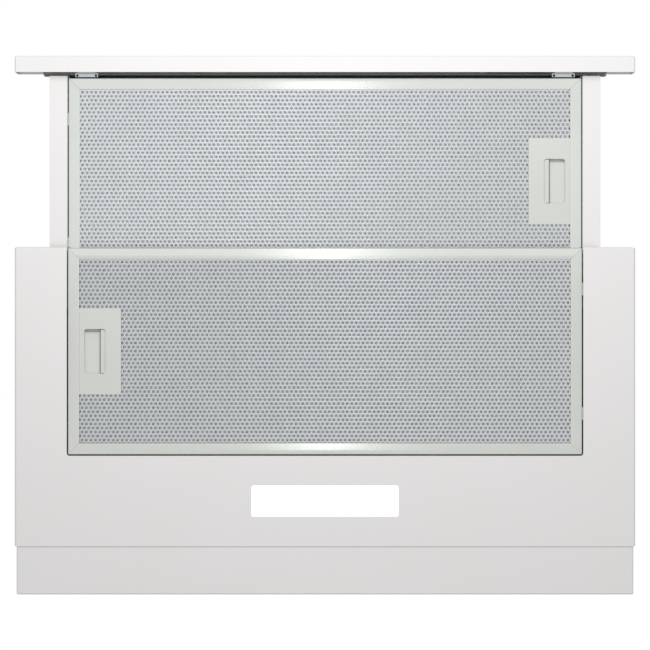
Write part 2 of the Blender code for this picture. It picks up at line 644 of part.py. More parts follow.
def make_damper_flap(side):
    name = "damper_flap_rear" if side > 0 else "damper_flap_front"
    radius = DUCT_DIAMETER / 2 - COLLAR_WALL - FLAP_CLEAR
    y = COLLAR_Y + side * FLAP_PIVOT_OFFSET
    start = math.asin(FLAP_PIVOT_OFFSET / radius)
    turn = math.pi - 2 * start
    outline = [(radius * math.cos(start + turn * step / 20),
                COLLAR_Y + side * radius * math.sin(start + turn * step / 20)) for step in range(21)]
    flap = plate(name, outline, LEDGE_TOP + GAP, LEDGE_TOP + GAP + FLAP_THICK)
    reach = DUCT_DIAMETER / 2 - COLLAR_WALL / 2
    pivot = rod(name + "_pivot", (-reach, y, PIVOT_Z), (reach, y, PIVOT_Z), FLAP_PIVOT_RADIUS, tools, 12)
    boolean(flap, pivot, "UNION")
    return give(flap, BLACK_PLASTIC)


# ---- grease filters -----------------------------------------------------------------------------
def make_filter(prefix, middle_y, bottom, side):
    """A grease filter cassette whose latch is at the end on the given side."""
    half_x, half_y = FILTER_WIDTH / 2, FILTER_DEPTH / 2
    low_y, high_y = middle_y - half_y, middle_y + half_y
    top = bottom + FILTER_THICK
    frame = block(prefix + "_frame", (-half_x, low_y, bottom), (half_x, high_y, top))
    groove = FILTER_SKIN
    cut_block(frame, (groove - half_x, low_y + groove, bottom + groove),
              (half_x - groove, high_y - groove, top - groove))
    window_x, window_y = half_x - FILTER_RAIL, half_y - FILTER_RAIL
    cut_block(frame, (-window_x, middle_y - window_y, bottom - groove),
              (window_x, middle_y + window_y, top + groove))
    for lug in (-1, 1):
        y = middle_y + lug * LUG_SPREAD
        low, high = sides_of(-side, half_x - groove / 2, half_x + LUG_OUT)
        join_block(frame, (low, y - LUG_WIDTH / 2, bottom + LUG_LOW),
                   (high, y + LUG_WIDTH / 2, bottom + LUG_LOW + LUG_THICK))
    bolt_low, bolt_high = bottom + RECESS_FLOOR + BOLT_RISE, bottom + LATCH_THICK - GAP
    low, high = sides_of(side, half_x - 2 * groove, half_x + groove)
    cut_block(frame, (low, middle_y - BOLT_WIDTH / 2 - GAP, bolt_low - GAP),
              (high, middle_y + BOLT_WIDTH / 2 + GAP, bolt_high + GAP))
    give(frame, ALUMINIUM)

    inset = groove + GAP
    latch_outer, latch_inner = window_x - GAP, window_x - LATCH_WIDTH
    mesh_low = groove + GAP
    pad_low = mesh_low + MESH_THICK + GAP
    upper_low = pad_low + PAD_THICK + GAP
    layers = (("_mesh_lower", mesh_low, MESH_THICK), ("_pad", pad_low, PAD_THICK),
              ("_mesh_upper", upper_low, MESH_THICK))
    pieces = [frame]
    for name, start, thick in layers:
        layer = block(prefix + name, (inset - half_x, low_y + inset, bottom + start),
                      (half_x - inset, high_y - inset, bottom + start + thick))
        low, high = sides_of(side, latch_inner - GAP, half_x)
        cut_block(layer, (low, middle_y - LATCH_DEPTH / 2 - GAP, bottom),
                  (high, middle_y + LATCH_DEPTH / 2 + GAP, top))
        pieces.append(give(layer, EXPANDED_ALUMINIUM))

    low, high = sides_of(side, latch_inner, latch_outer)
    latch = block(prefix + "_latch_plate", (low, middle_y - LATCH_DEPTH / 2, bottom),
                  (high, middle_y + LATCH_DEPTH / 2, bottom + LATCH_THICK))
    recess_outer = latch_outer - RECESS_SETBACK
    recess_inner = recess_outer - RECESS_WIDTH
    recess_centre = (side * (recess_outer + recess_inner) / 2, middle_y)
    outline = rounded_outline(recess_centre, RECESS_WIDTH, RECESS_DEPTH, RECESS_RADIUS)
    cut(latch, plate(prefix + "_recess", outline, bottom - SHEET, bottom + RECESS_FLOOR, tools))
    low, high = sides_of(side, recess_inner - LATCH_TRAVEL - GAP, recess_inner + LEDGE_WIDTH + GAP)
    ledge_half = RECESS_DEPTH / 2 - RECESS_RADIUS
    cut_block(latch, (low, middle_y - ledge_half - GAP, bottom + LATCH_SKIN),
              (high, middle_y + ledge_half + GAP, bottom + LATCH_THICK + SHEET))
    low, high = sides_of(side, recess_inner, latch_outer + SHEET)
    cut_block(latch, (low, middle_y - BOLT_WIDTH / 2 - GAP, bolt_low - GAP),
              (high, middle_y + BOLT_WIDTH / 2 + GAP, bottom + LATCH_THICK + SHEET))
    low, high = sides_of(side, recess_inner - SPRING_LENGTH - 2 * GAP, recess_inner)
    spring_z = bottom + (LATCH_SKIN + LATCH_THICK) / 2
    pocket = SPRING_RADIUS + 3 * GAP
    cut_block(latch, (low, middle_y - pocket, bottom + LATCH_SKIN),
              (high, middle_y + pocket, bottom + LATCH_THICK + SHEET))
    give(latch, ALUMINIUM)
    pieces.append(latch)

    low, high = sides_of(side, recess_inner, recess_inner + LEDGE_WIDTH)
    slider = block(prefix + "_latch_slider", (low, middle_y - ledge_half, bottom + LATCH_SKIN + GAP),
                   (high, middle_y + ledge_half, bolt_high))
    low, high = sides_of(side, recess_inner + LEDGE_WIDTH / 2, half_x + BOLT_OUT)
    join_block(slider, (low, middle_y - BOLT_WIDTH / 2, bolt_low),
               (high, middle_y + BOLT_WIDTH / 2, bolt_high))
    give(slider, ALUMINIUM)

    turns, per_turn = 5, 8
    curve = bpy.data.curves.new(prefix + "_latch_spring", "CURVE")
    curve.dimensions = "3D"
    curve.bevel_depth = SPRING_WIRE
    curve.bevel_resolution = 2
    curve.use_fill_caps = True
    coil = curve.splines.new("POLY")
    coil.points.add(turns * per_turn)
    length = SPRING_LENGTH - 2 * SPRING_WIRE
    for step, point in enumerate(coil.points):
        angle = 2 * math.pi * step / per_turn
        along = recess_inner - GAP - SPRING_WIRE - length * step / (turns * per_turn)
        point.co = (side * along, SPRING_RADIUS * math.cos(angle), SPRING_RADIUS * math.sin(angle), 1)
    spring = add_object(prefix + "_latch_spring", curve, hood)
    spring.location = (0, middle_y, spring_z)
    give(spring, SPRING_STEEL)
    pieces.append(spring)
    return pieces, slider


def make_body_filter_holders():
    """The slotted hinge bracket and the catch that hold the body filter, on the pan's floor."""
    low_z, high_z = PAN_FLOOR + GAP, PAN_BOTTOM + FILTER_THICK - LUG_CLEAR
    reach = LUG_SPREAD + HOLDER_MARGIN
    bracket = block("filter_hinge_bracket", (OPENING_HALF + GAP, BODY_FILTER_Y - reach, low_z),
                    (OPENING_HALF + HOLDER_WIDTH, BODY_FILTER_Y + reach, high_z))
    slot_end = FILTER_WIDTH / 2 + LUG_OUT + LUG_CLEAR + GAP
    slot_half = LUG_WIDTH / 2 + LUG_CLEAR
    for lug in (-1, 1):
        y = BODY_FILTER_Y + lug * LUG_SPREAD
        cut_block(bracket, (OPENING_HALF - SHEET, y - slot_half, PAN_BOTTOM + LUG_LOW - LUG_CLEAR),
                  (slot_end, y + slot_half, high_z - SHEET))
    give(bracket, GALVANISED)

    catch = block("filter_catch", (-OPENING_HALF - HOLDER_WIDTH, BODY_FILTER_Y - CATCH_HALF, low_z),
                  (-OPENING_HALF - GAP, BODY_FILTER_Y + CATCH_HALF, high_z))
    slot_half = BOLT_WIDTH / 2 + 2 * LUG_CLEAR
    cut_block(catch, (-OPENING_HALF - HOLDER_WIDTH / 2, BODY_FILTER_Y - slot_half, low_z + SHEET),
              (SHEET - OPENING_HALF, BODY_FILTER_Y + slot_half, high_z - SHEET / 2))
    give(catch, GALVANISED)


# ---- drawer -------------------------------------------------------------------------------------
def make_side_rail(side):
    name = "drawer_side_rail_right" if side > 0 else "drawer_side_rail_left"
    low, high = sides_of(side, RAIL_INNER, RAIL_OUTER)
    rail = block(name, (low, RAIL_FRONT, DRAWER_BOTTOM), (high, DRAWER_REAR, RAIL_TOP))
    low, high = sides_of(side, RAIL_INNER + SHEET, RAIL_OUTER + SHEET)
    cut_block(rail, (low, RAIL_FRONT - SHEET, DRAWER_BOTTOM + SHEET),
              (high, DRAWER_REAR + SHEET, RAIL_TOP - SHEET))
    low, high = sides_of(side, RAIL_INNER - SHEET, RAIL_INNER + 2 * SHEET)
    if side < 0:
        half = LUG_WIDTH / 2 + LUG_CLEAR
        for lug in (-1, 1):
            y = DRAWER_FILTER_Y + lug * LUG_SPREAD
            cut_block(rail, (low, y - half, DRAWER_BOTTOM + LUG_LOW - GAP),
                      (high, y + half, DRAWER_BOTTOM + LUG_LOW + LUG_THICK + GAP))
    else:
        half = BOLT_WIDTH / 2 + LUG_CLEAR
        cut_block(rail, (low, DRAWER_FILTER_Y - half, DRAWER_BOTTOM + RECESS_FLOOR),
                  (high, DRAWER_FILTER_Y + half, DRAWER_BOTTOM + LATCH_THICK + 2 * GAP))
    return give(rail, WHITE_PAINT)


def make_runners(side):
    """The sliding channel inside a side rail and the fixed section whose head runs in it."""
    word = "right" if side > 0 else "left"
    web = RAIL_INNER + SHEET + GAP
    low, high = sides_of(side, web, web + RUNNER_WIDTH)
    lip = RUNNER_LIP + 1.5 * SHEET
    slide = block("runner_inner_" + word, (low, RAIL_FRONT + RUNNER_LIP, DRAWER_BOTTOM + RUNNER_LIP),
                  (high, DRAWER_REAR - SHEET, RAIL_TOP - RUNNER_LIP))
    low, high = sides_of(side, web + SHEET, web + RUNNER_WIDTH + SHEET)
    cut_block(slide, (low, RAIL_FRONT, DRAWER_BOTTOM + lip), (high, DRAWER_REAR, RAIL_TOP - lip))
    give(slide, GALVANISED)

    front, rear = PAN_FRONT + RUNNER_SETBACK, PAN_FRONT + RUNNER_SETBACK + RUNNER_LENGTH
    head = web + SHEET + GAP
    wall = HOOD_WIDTH / 2 - SHEET - GAP
    middle = (DRAWER_BOTTOM + RAIL_TOP) / 2
    low, high = sides_of(side, head + SHEET / 2, wall)
    fixed = block("runner_outer_" + word, (low, front, middle - SHEET), (high, rear, middle + SHEET))
    low, high = sides_of(side, head, head + RUNNER_WIDTH + GAP)
    head_margin = lip + SHEET - GAP
    join_block(fixed, (low, front, DRAWER_BOTTOM + head_margin), (high, rear, RAIL_TOP - head_margin))
    low, high = sides_of(side, wall - SHEET, wall + GAP / 2)
    join_block(fixed, (low, front, DRAWER_BOTTOM + 2 * SHEET), (high, rear, RAIL_TOP - 2 * SHEET))
    give(fixed, GALVANISED)
    return slide


def make_drawer_panels():
    """The drawer's top cover and the two crossmembers that carry its filter."""
    cover = block("drawer_top_cover", (-RAIL_OUTER, RAIL_FRONT, -DRAWER_TOP - SHEET),
                  (RAIL_OUTER, DRAWER_REAR, -DRAWER_TOP))
    give(cover, GALVANISED)

    half = RAIL_INNER - GAP
    start = DRAWER_FILTER_Y + FILTER_DEPTH / 2 + 2 * GAP
    top = DRAWER_BOTTOM + FILTER_THICK
    rear = block("drawer_rear_crossmember", (-half, start, DRAWER_BOTTOM), (half, DRAWER_REAR, top))
    cut_block(rear, (-half - SHEET, start + SHEET, DRAWER_BOTTOM + SHEET),
              (half + SHEET, DRAWER_REAR - SHEET, top + SHEET))
    give(rear, WHITE_PAINT)

    front_y = FASCIA_REAR + CROSS_GAP
    lip_top = -DRAWER_TOP - SHEET - CROSS_LIP_DROP
    front = block("drawer_front_crossmember", (-FASCIA_OPEN, front_y, DRAWER_BOTTOM + CROSS_RISE),
                  (FASCIA_OPEN, front_y + SHEET, -DRAWER_TOP))
    join_block(front, (-half, front_y, lip_top - SHEET), (half, front_y + CROSS_LIP, lip_top))
    give(front, GALVANISED)
    return [cover, rear, front]


def make_fascia():
    half = HOOD_WIDTH / 2
    low_z, high_z = PAN_BOTTOM, -FASCIA_DROP
    bar = block("fascia", (-half, FASCIA_FRONT, low_z), (half, FASCIA_REAR, high_z))
    wall = FASCIA_SHEET
    cut_block(bar, (wall - half, FASCIA_FRONT + wall, low_z + wall),
              (half - wall, FASCIA_REAR + wall, high_z - wall))
    cut_block(bar, (CONTROL_CENTRE - CONTROL_WIDTH / 2, FASCIA_FRONT - wall, CONTROL_Z - CONTROL_HEIGHT / 2),
              (CONTROL_CENTRE + CONTROL_WIDTH / 2, FASCIA_FRONT + 2 * wall, CONTROL_Z + CONTROL_HEIGHT / 2))
    give(bar, WHITE_PAINT)
    pieces = [bar]
    inset = wall + GAP
    low_y, low_z, high_z = FASCIA_FRONT + inset, low_z + inset, high_z - inset
    for side, word in ((-1, "left"), (1, "right")):
        low, high = sides_of(side, FASCIA_OPEN, half - inset)
        cap = block("fascia_end_cap_" + word, (low, low_y, low_z), (high, FASCIA_REAR, high_z))
        low, high = sides_of(side, FASCIA_OPEN - CAP_WALL, half - inset - CAP_WALL)
        cut_block(cap, (low, low_y + CAP_WALL, low_z + CAP_WALL),
                  (high, FASCIA_REAR - CAP_WALL, high_z - CAP_WALL))
        pieces.append(give(cap, WHITE_PLASTIC))
    return pieces


def make_clips():
    """Two sprung clips hooked into the fascia and screwed up into the drawer."""
    pieces = []
    strip = CLIP_STRIP
    low_z, high_z = DRAWER_BOTTOM - strip, DRAWER_BOTTOM
    foot_low = PAN_BOTTOM + FASCIA_SHEET + GAP
    front = FASCIA_REAR + GAP
    step = front + CLIP_STEP
    screw_y = front + CLIP_DEPTH - CLIP_SCREW_RADIUS - 2 * GAP
    for side, word in ((-1, "left"), (1, "right")):
        low, high = side * CLIP_CENTRE - CLIP_WIDTH / 2, side * CLIP_CENTRE + CLIP_WIDTH / 2
        clip = block("fascia_clip_" + word, (low, front, low_z), (high, front + CLIP_DEPTH, high_z))
        low, high = low + CLIP_NOTCH, high - CLIP_NOTCH
        join_block(clip, (low, front, low_z + strip / 4),
                   (high, FASCIA_REAR + CROSS_GAP - GAP, high_z + CLIP_TAB))
        join_block(clip, (low, step, foot_low), (high, step + strip, high_z - strip / 4))
        join_block(clip, (low, FASCIA_REAR - CLIP_FOOT, foot_low), (high, step + strip, foot_low + strip))
        pieces.append(give(clip, SPRING_STEEL))
        spread = side * (CLIP_WIDTH / 2 - CLIP_SCREW_INSET)
        for end, x in (("outer", side * CLIP_CENTRE + spread), ("inner", side * CLIP_CENTRE - spread)):
            hole = CLIP_SCREW_RADIUS + GAP
            cut_rod(clip, (x, screw_y, low_z - SHEET), (x, screw_y, high_z + SHEET), hole, 12)
            screw = rod("clip_screw_" + word + "_" + end, (x, screw_y, low_z),
                        (x, screw_y, high_z + CLIP_SCREW_LENGTH), CLIP_SCREW_RADIUS, sides=12)
            pieces.append(give(screw, BLACK_PLASTIC))
    return pieces


def make_controls():
    """The slide switches behind the fascia's front: bezel, switch unit and two knobs."""
    face = FASCIA_FRONT + BEZEL_SETBACK
    half, half_height = CONTROL_WIDTH / 2 - GAP, CONTROL_HEIGHT / 2 - GAP
    bezel = block("control_bezel", (CONTROL_CENTRE - half, face, CONTROL_Z - half_height),
                  (CONTROL_CENTRE + half, face + BEZEL_THICK, CONTROL_Z + half_height))
    unit = block("control_switch_unit",
                 (CONTROL_CENTRE - UNIT_HALF, face + UNIT_GAP, CONTROL_Z - half_height + SHEET),
                 (CONTROL_CENTRE + UNIT_HALF, FASCIA_REAR - SHEET, CONTROL_Z + half_height - SHEET))
    knobs = []
    knob_half = KNOB_HEIGHT / 2
    for name, offset, travel in (("fan_speed_knob", FAN_KNOB_START, FAN_KNOB_TRAVEL),
                                 ("light_knob", LIGHT_KNOB_START, LIGHT_KNOB_TRAVEL)):
        start = CONTROL_CENTRE + offset
        end = start + KNOB_WIDTH
        cut_block(bezel, (start - SLOT_CLEAR, face - SHEET, CONTROL_Z - knob_half - GAP),
                  (end + travel + SLOT_CLEAR, face + BEZEL_THICK + SHEET, CONTROL_Z + knob_half + GAP))
        knob = block(name, (start, FASCIA_FRONT, CONTROL_Z - knob_half),
                     (end, face + BEZEL_THICK, CONTROL_Z + knob_half))
        join_block(knob, (start + KNOB_WIDTH / 3, face + SHEET, CONTROL_Z - SHEET),
                   (end - KNOB_WIDTH / 3, face + UNIT_GAP - GAP, CONTROL_Z + SHEET))
        knobs.append(give(knob, WHITE_PLASTIC))
    give(bezel, GREY_PLASTIC)
    give(unit, BLACK_PLASTIC)
    return [bezel, unit, *knobs]


# ---- assembly -----------------------------------------------------------------------------------
make_base_pan()
make_lamp()
make_upper_box()
make_cable_gland()
make_scroll(-1)
make_scroll(1)
make_motor()
make_control_box()
make_outlet_collar()
make_body_filter_holders()

spacer_body = body_empty("spacer_body", (0, PAN_REAR, PAN_BOTTOM / 2))
attach(spacer_body, make_rear_spacer())

fan_body = body_empty("fan_body", (0, FAN_Y, FAN_Z))
attach(fan_body, *make_impeller())

for flap_side in (-1, 1):
    flap_pivot = body_empty("flap_pivot", (0, COLLAR_Y + flap_side * FLAP_PIVOT_OFFSET, PIVOT_Z))
    attach(flap_pivot, make_damper_flap(flap_side))

hinge = body_empty("body_filter_hinge", (FILTER_WIDTH / 2, BODY_FILTER_Y, PAN_BOTTOM))
body_filter, body_slider = make_filter("body_filter", BODY_FILTER_Y, PAN_BOTTOM, -1)
attach(hinge, *body_filter, body_slider)

drawer_body = body_empty("drawer_body", (0, FASCIA_REAR, DRAWER_BOTTOM))
drawer_filter, drawer_slider = make_filter("drawer_filter", DRAWER_FILTER_Y, DRAWER_BOTTOM, 1)
attach(drawer_body, *drawer_filter, drawer_slider, *make_drawer_panels(), *make_fascia(), *make_clips())
for rail_side in (-1, 1):
    attach(drawer_body, make_side_rail(rail_side), make_runners(rail_side))
attach(drawer_body, *make_controls())
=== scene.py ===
import math
import bmesh
import bpy
from mathutils import Matrix, Vector


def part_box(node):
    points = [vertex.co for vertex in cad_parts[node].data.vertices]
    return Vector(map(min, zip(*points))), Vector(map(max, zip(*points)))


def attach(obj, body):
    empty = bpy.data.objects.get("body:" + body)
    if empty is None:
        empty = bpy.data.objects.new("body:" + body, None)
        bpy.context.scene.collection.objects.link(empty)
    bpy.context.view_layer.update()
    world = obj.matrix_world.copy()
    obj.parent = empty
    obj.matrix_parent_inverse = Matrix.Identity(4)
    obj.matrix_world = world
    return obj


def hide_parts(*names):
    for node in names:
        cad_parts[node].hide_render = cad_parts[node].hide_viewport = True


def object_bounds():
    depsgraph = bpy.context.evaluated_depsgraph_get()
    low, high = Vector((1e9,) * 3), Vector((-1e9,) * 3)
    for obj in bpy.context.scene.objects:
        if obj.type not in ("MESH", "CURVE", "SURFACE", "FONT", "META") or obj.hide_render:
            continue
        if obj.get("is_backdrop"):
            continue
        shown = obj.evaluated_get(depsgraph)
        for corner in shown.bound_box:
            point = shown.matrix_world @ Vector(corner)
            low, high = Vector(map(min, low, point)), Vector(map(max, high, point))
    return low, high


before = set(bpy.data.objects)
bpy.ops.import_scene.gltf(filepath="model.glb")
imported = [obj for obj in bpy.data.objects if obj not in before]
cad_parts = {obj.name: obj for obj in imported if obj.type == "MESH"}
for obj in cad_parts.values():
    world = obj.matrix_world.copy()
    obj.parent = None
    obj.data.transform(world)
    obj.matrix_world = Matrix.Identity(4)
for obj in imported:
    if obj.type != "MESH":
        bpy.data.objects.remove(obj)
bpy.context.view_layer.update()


# ---- Base pan ----------------------------------------------------------------------------------
# The hood's body: one sheet of 1 mm steel folded into a shallow tray, open at the front and the back,
# with a filter opening, a lamp window, a stepped seat for the fan box and four screw holes. It is
# powder-coated white after folding, so every edge is a little rounded.
def linear(code):
    """An sRGB hex colour as the linear values that a shader takes."""
    values = [int(code[place:place + 2], 16) / 255 for place in (0, 2, 4)]
    return (*[v / 12.92 if v <= 0.04045 else ((v + 0.055) / 1.055) ** 2.4 for v in values], 1)


def add_node(tree, kind, inputs=(), **settings):
    """One shader node: inputs are values, or other nodes' outputs to link; settings are its choices."""
    node = tree.nodes.new("ShaderNode" + kind)
    for name, value in settings.items():
        setattr(node, name, value)
    for name, value in dict(inputs).items():
        if isinstance(value, bpy.types.NodeSocket):
            tree.links.new(value, node.inputs[name])
        else:
            node.inputs[name].default_value = value
    return node


def start_material(name, colour, roughness, metallic=0.0, ior=1.5):
    """A material whose shader has its even values set; returns it, its tree and its shader."""
    material = bpy.data.materials.new(name)
    material.use_nodes = True
    tree = material.node_tree
    shader = tree.nodes["Principled BSDF"]
    shader.inputs["Base Color"].default_value = linear(colour)
    shader.inputs["Roughness"].default_value = roughness
    shader.inputs["Metallic"].default_value = metallic
    shader.inputs["IOR"].default_value = ior
    return material, tree, shader


def noise(tree, size, detail=2.0):
    """Noise in the piece's own coordinates, with grains of about the given size in metres."""
    place = add_node(tree, "TexCoord").outputs["Object"]
    return add_node(tree, "TexNoise", {"Vector": place, "Scale": 1 / size, "Detail": detail}).outputs["Fac"]


def vary_colour(tree, shader, pattern, colour, shade):
    """Let the base colour run between two sRGB colours as a pattern varies."""
    tint = add_node(tree, "Mix", {"Factor": pattern, 6: linear(colour), 7: linear(shade)}, data_type="RGBA")
    tree.links.new(tint.outputs[2], shader.inputs["Base Color"])


def vary_gloss(tree, shader, pattern, smooth, rough):
    """Let the roughness run between two values as a pattern varies."""
    gloss = add_node(tree, "MapRange", {"Value": pattern, "To Min": smooth, "To Max": rough})
    tree.links.new(gloss.outputs["Result"], shader.inputs["Roughness"])


def add_bump(tree, shader, pattern, strength, height):
    """Raise the surface where a pattern is high, by up to strength times height."""
    bump = add_node(tree, "Bump", {"Height": pattern, "Strength": strength, "Distance": height})
    tree.links.new(bump.outputs["Normal"], shader.inputs["Normal"])


def powder_coat(name, colour, shade):
    """Satin polyester powder, baked on steel: a fine orange peel about 1.5 mm across and 10 um high."""
    material, tree, shader = start_material(name, colour, 0.34)
    peel = noise(tree, 0.0015, 1.5)
    vary_colour(tree, shader, noise(tree, 0.09), colour, shade)
    vary_gloss(tree, shader, peel, 0.30, 0.40)
    add_bump(tree, shader, peel, 0.25, 0.00004)
    return material


def choose(piece):
    """Make a piece the active object and the only selected one."""
    bpy.ops.object.select_all(action="DESELECT")
    piece.select_set(True)
    bpy.context.view_layer.objects.active = piece


def enter_edit():
    bpy.ops.object.mode_set(mode="EDIT")


def leave_edit():
    bpy.ops.object.mode_set(mode="OBJECT")


def select_everything():
    bpy.ops.mesh.select_all(action="SELECT")


def show(thing):
    """Put an object into the scene."""
    bpy.context.scene.collection.objects.link(thing)
    return thing


def name_new(name):
    """Name the primitive that was just added, and its mesh, and apply its place and size."""
    piece = bpy.context.object
    piece.name = name
    piece.data.name = name
    bpy.ops.object.transform_apply(location=True, rotation=True, scale=True)
    return piece


def add_box(name, low, high):
    """A cube primitive between two corners."""
    bpy.ops.object.select_all(action="DESELECT")
    low, high = Vector(low), Vector(high)
    bpy.ops.mesh.primitive_cube_add(size=1, location=(low + high) / 2, scale=high - low)
    return name_new(name)


def select_parts(kind, parts, test):
    """In edit mode, select the faces or the edges that pass the test."""
    mesh = bpy.context.object.data
    shape = bmesh.from_edit_mesh(mesh)
    bpy.ops.mesh.select_mode(type=kind)
    bpy.ops.mesh.select_all(action="DESELECT")
    for part in getattr(shape, parts):
        part.select_set(bool(test(part)))
    bmesh.update_edit_mesh(mesh)


def select_faces(test):
    """Select the faces whose middle and normal pass the test."""
    select_parts("FACE", "faces", lambda face: test(face.calc_center_median(), face.normal))


def delete_faces(test):
    """Delete the faces whose middle and normal pass the test."""
    select_faces(test)
    bpy.ops.mesh.delete(type="FACE")


def select_edges(test):
    """Select the edges whose two ends pass the test."""
    select_parts("EDGE", "edges", lambda edge: test(edge.verts[0].co, edge.verts[1].co))


def shared_planes(first, second, planes):
    """How many of the planes, each an axis and a place on it, hold both ends of an edge."""
    return sum(abs(first[axis] - at) < 1e-6 and abs(second[axis] - at) < 1e-6 for axis, at in planes)


def planes_of(low, high, *left_out):
    """A box's planes, each an axis and a place on it, without the sides left out, such as "-z"."""
    return [(axis, corner[axis]) for axis in range(3) for sign, corner in (("-", low), ("+", high))
            if sign + "xyz"[axis] not in left_out]


def split_at(planes, drop_beyond=False):
    """In edit mode, cut the mesh along planes, each an axis, a place on it and which way is out."""
    for axis, at, outward in planes:
        select_everything()
        bpy.ops.mesh.bisect(plane_co=[at if axis == i else 0 for i in range(3)],
                            plane_no=[outward if axis == i else 0 for i in range(3)],
                            clear_outer=drop_beyond)


def apply_modifier(piece, kind, **settings):
    """Add a modifier with these settings to a piece, and apply it."""
    choose(piece)
    modifier = piece.modifiers.new(kind.lower(), kind)
    for name, value in settings.items():
        setattr(modifier, name, value)
    bpy.ops.object.modifier_apply(modifier=modifier.name)


def thicken(piece, thickness, offset=-1):
    """Give a sheet its thickness, inwards or to both sides."""
    apply_modifier(piece, "SOLIDIFY", thickness=thickness, offset=offset, use_even_offset=True)


def cut_out(piece, cutter, operation="DIFFERENCE"):
    """Cut a piece with another, and delete the other."""
    apply_modifier(piece, "BOOLEAN", operation=operation, solver="EXACT", object=cutter)
    bpy.data.objects.remove(cutter, do_unlink=True)


def fuse(piece, other):
    """Make another solid part of a piece, with one skin round both."""
    cut_out(piece, other, "UNION")


def round_folds(low, high, left_open, radius, segments):
    """In edit mode, round each edge where two closed sides of a box meet."""
    folds = planes_of(low, high, *left_open)
    select_edges(lambda a, b: shared_planes(a, b, folds) == 2)
    bpy.ops.mesh.bevel(offset=radius, segments=segments, affect="EDGES")


def fold_box(name, low, high, left_open, radius, segments, thickness):
    """A box of folded sheet, with some sides left open, such as "-z", and rounded folds."""
    piece = add_box(name, low, high)
    enter_edit()
    ways = [("xyz".index(side[1]), 1 if side[0] == "+" else -1) for side in left_open]
    delete_faces(lambda middle, normal: any(normal[axis] * way > 0.9 for axis, way in ways))
    round_folds(low, high, left_open, radius, segments)
    leave_edit()
    thicken(piece, thickness)
    return piece


def rounded_box(name, low, high, radius, axis=2):
    """A box whose four edges along one axis are rounded."""
    piece = add_box(name, low, high)
    enter_edit()
    select_edges(lambda a, b: abs(a[axis] - b[axis]) > 1e-6)
    bpy.ops.mesh.bevel(offset=radius, segments=6, affect="EDGES")
    leave_edit()
    return piece


def add_rod(name, start, end, radius, sides=24):
    """A cylinder primitive between two points."""
    bpy.ops.object.select_all(action="DESELECT")
    start, end = Vector(start), Vector(end)
    bpy.ops.mesh.primitive_cylinder_add(vertices=sides, radius=radius, depth=(end - start).length,
                                        location=(start + end) / 2,
                                        rotation=(end - start).to_track_quat("Z", "Y").to_euler())
    return name_new(name)


def upright(name, middle, low, high, radius, sides=24):
    """A vertical cylinder between two heights."""
    return add_rod(name, (middle.x, middle.y, low), (middle.x, middle.y, high), radius, sides)


def join(piece, *others):
    """Make other solids, each with a skin of its own, part of a piece's object."""
    choose(piece)
    for other in others:
        other.select_set(True)
    bpy.ops.object.join()


def round_edges(piece, width, segments=2):
    """Break every sharp edge, and shade the bends smooth and the faces flat."""
    apply_modifier(piece, "BEVEL", width=width, segments=segments, limit_method="ANGLE",
                   angle_limit=SHARP, use_clamp_overlap=True)
    bpy.ops.object.shade_smooth_by_angle(angle=SHARP)
    apply_modifier(piece, "WEIGHTED_NORMAL", weight=50, keep_sharp=True)


def fit(piece, material, body, slot, *nodes):
    """Give a finished piece its material and its body, and hide the nodes it replaces. The slot argument is
    not used.
    """
    piece.data.materials.clear()
    piece.data.materials.append(material)
    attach(piece, body)
    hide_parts(*nodes)


SHARP = math.radians(35)
SHEET, BEND, HEM = 0.001, 0.002, 0.005
FINE = 96
white_coat = powder_coat("powder_coated_steel_white", "F0EEEE", "EDECEB")
pan_low, pan_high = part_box("base_pan")
box_low, box_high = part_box("upper_box")
lens_low, lens_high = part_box("lamp_lens")
opening_half = 0.2489
opening_rear = pan_low.y + 0.2012
inner_wall = pan_high.y - 0.0225
BOX_FLANGE, LENS_EDGE, PAN_EDGE = 0.0135, 0.0027, 0.0025
BEYOND, PLAY = 0.01, 0.0003

pan = add_box("pan_sheet", pan_low, pan_high)
enter_edit()
delete_faces(lambda middle, normal: normal.y > 0.9)
seat_low, seat_high = box_low.xy - Vector((PLAY, PLAY)), box_high.xy + Vector((PLAY, PLAY))
split_at(((0, seat_low.x, 1), (0, seat_high.x, 1), (1, seat_low.y, 1), (1, seat_high.y, 1)))
select_faces(lambda middle, normal: normal.z > 0.9 and seat_low.x < middle.x < seat_high.x
             and seat_low.y < middle.y < seat_high.y)
bpy.ops.mesh.extrude_region_move(TRANSFORM_OT_translate={"value": (0, 0, -SHEET)})
round_folds(pan_low, pan_high, ("+y",), BEND, 5)
leave_edit()
thicken(pan, SHEET)
cut_out(pan, rounded_box("front_opening", (pan_low.x + PAN_EDGE, pan_low.y - BEYOND, pan_low.z + HEM),
                         (pan_high.x - PAN_EDGE, pan_low.y + 0.0015, -PAN_EDGE), 0.001, axis=1))
cut_out(pan, rounded_box("filter_opening", (-opening_half, pan_low.y - 0.02, pan_low.z - BEYOND),
                         (opening_half, opening_rear, pan_low.z + HEM + 0.001), 0.0025))
edge = Vector((LENS_EDGE, LENS_EDGE))
window_low, window_high = lens_low.xy + edge, lens_high.xy - edge
cut_out(pan, rounded_box("lamp_window", (*window_low, pan_low.z - BEYOND),
                         (*window_high, pan_low.z + 0.003), 0.0017))
cut_out(pan, rounded_box("fan_box_hole", (box_low.x + BOX_FLANGE, box_low.y + BOX_FLANGE, -0.004),
                         (box_high.x - BOX_FLANGE, inner_wall - 0.002, 0.002), 0.003))
for side in (-1, 1):
    for hole_y in (pan_low.y + 0.05, inner_wall - 0.03):
        hole = Vector((side * (pan_high.x - 0.018), hole_y))
        cut_out(pan, upright("screw_hole", hole, -0.004, 0.002, 0.0025))
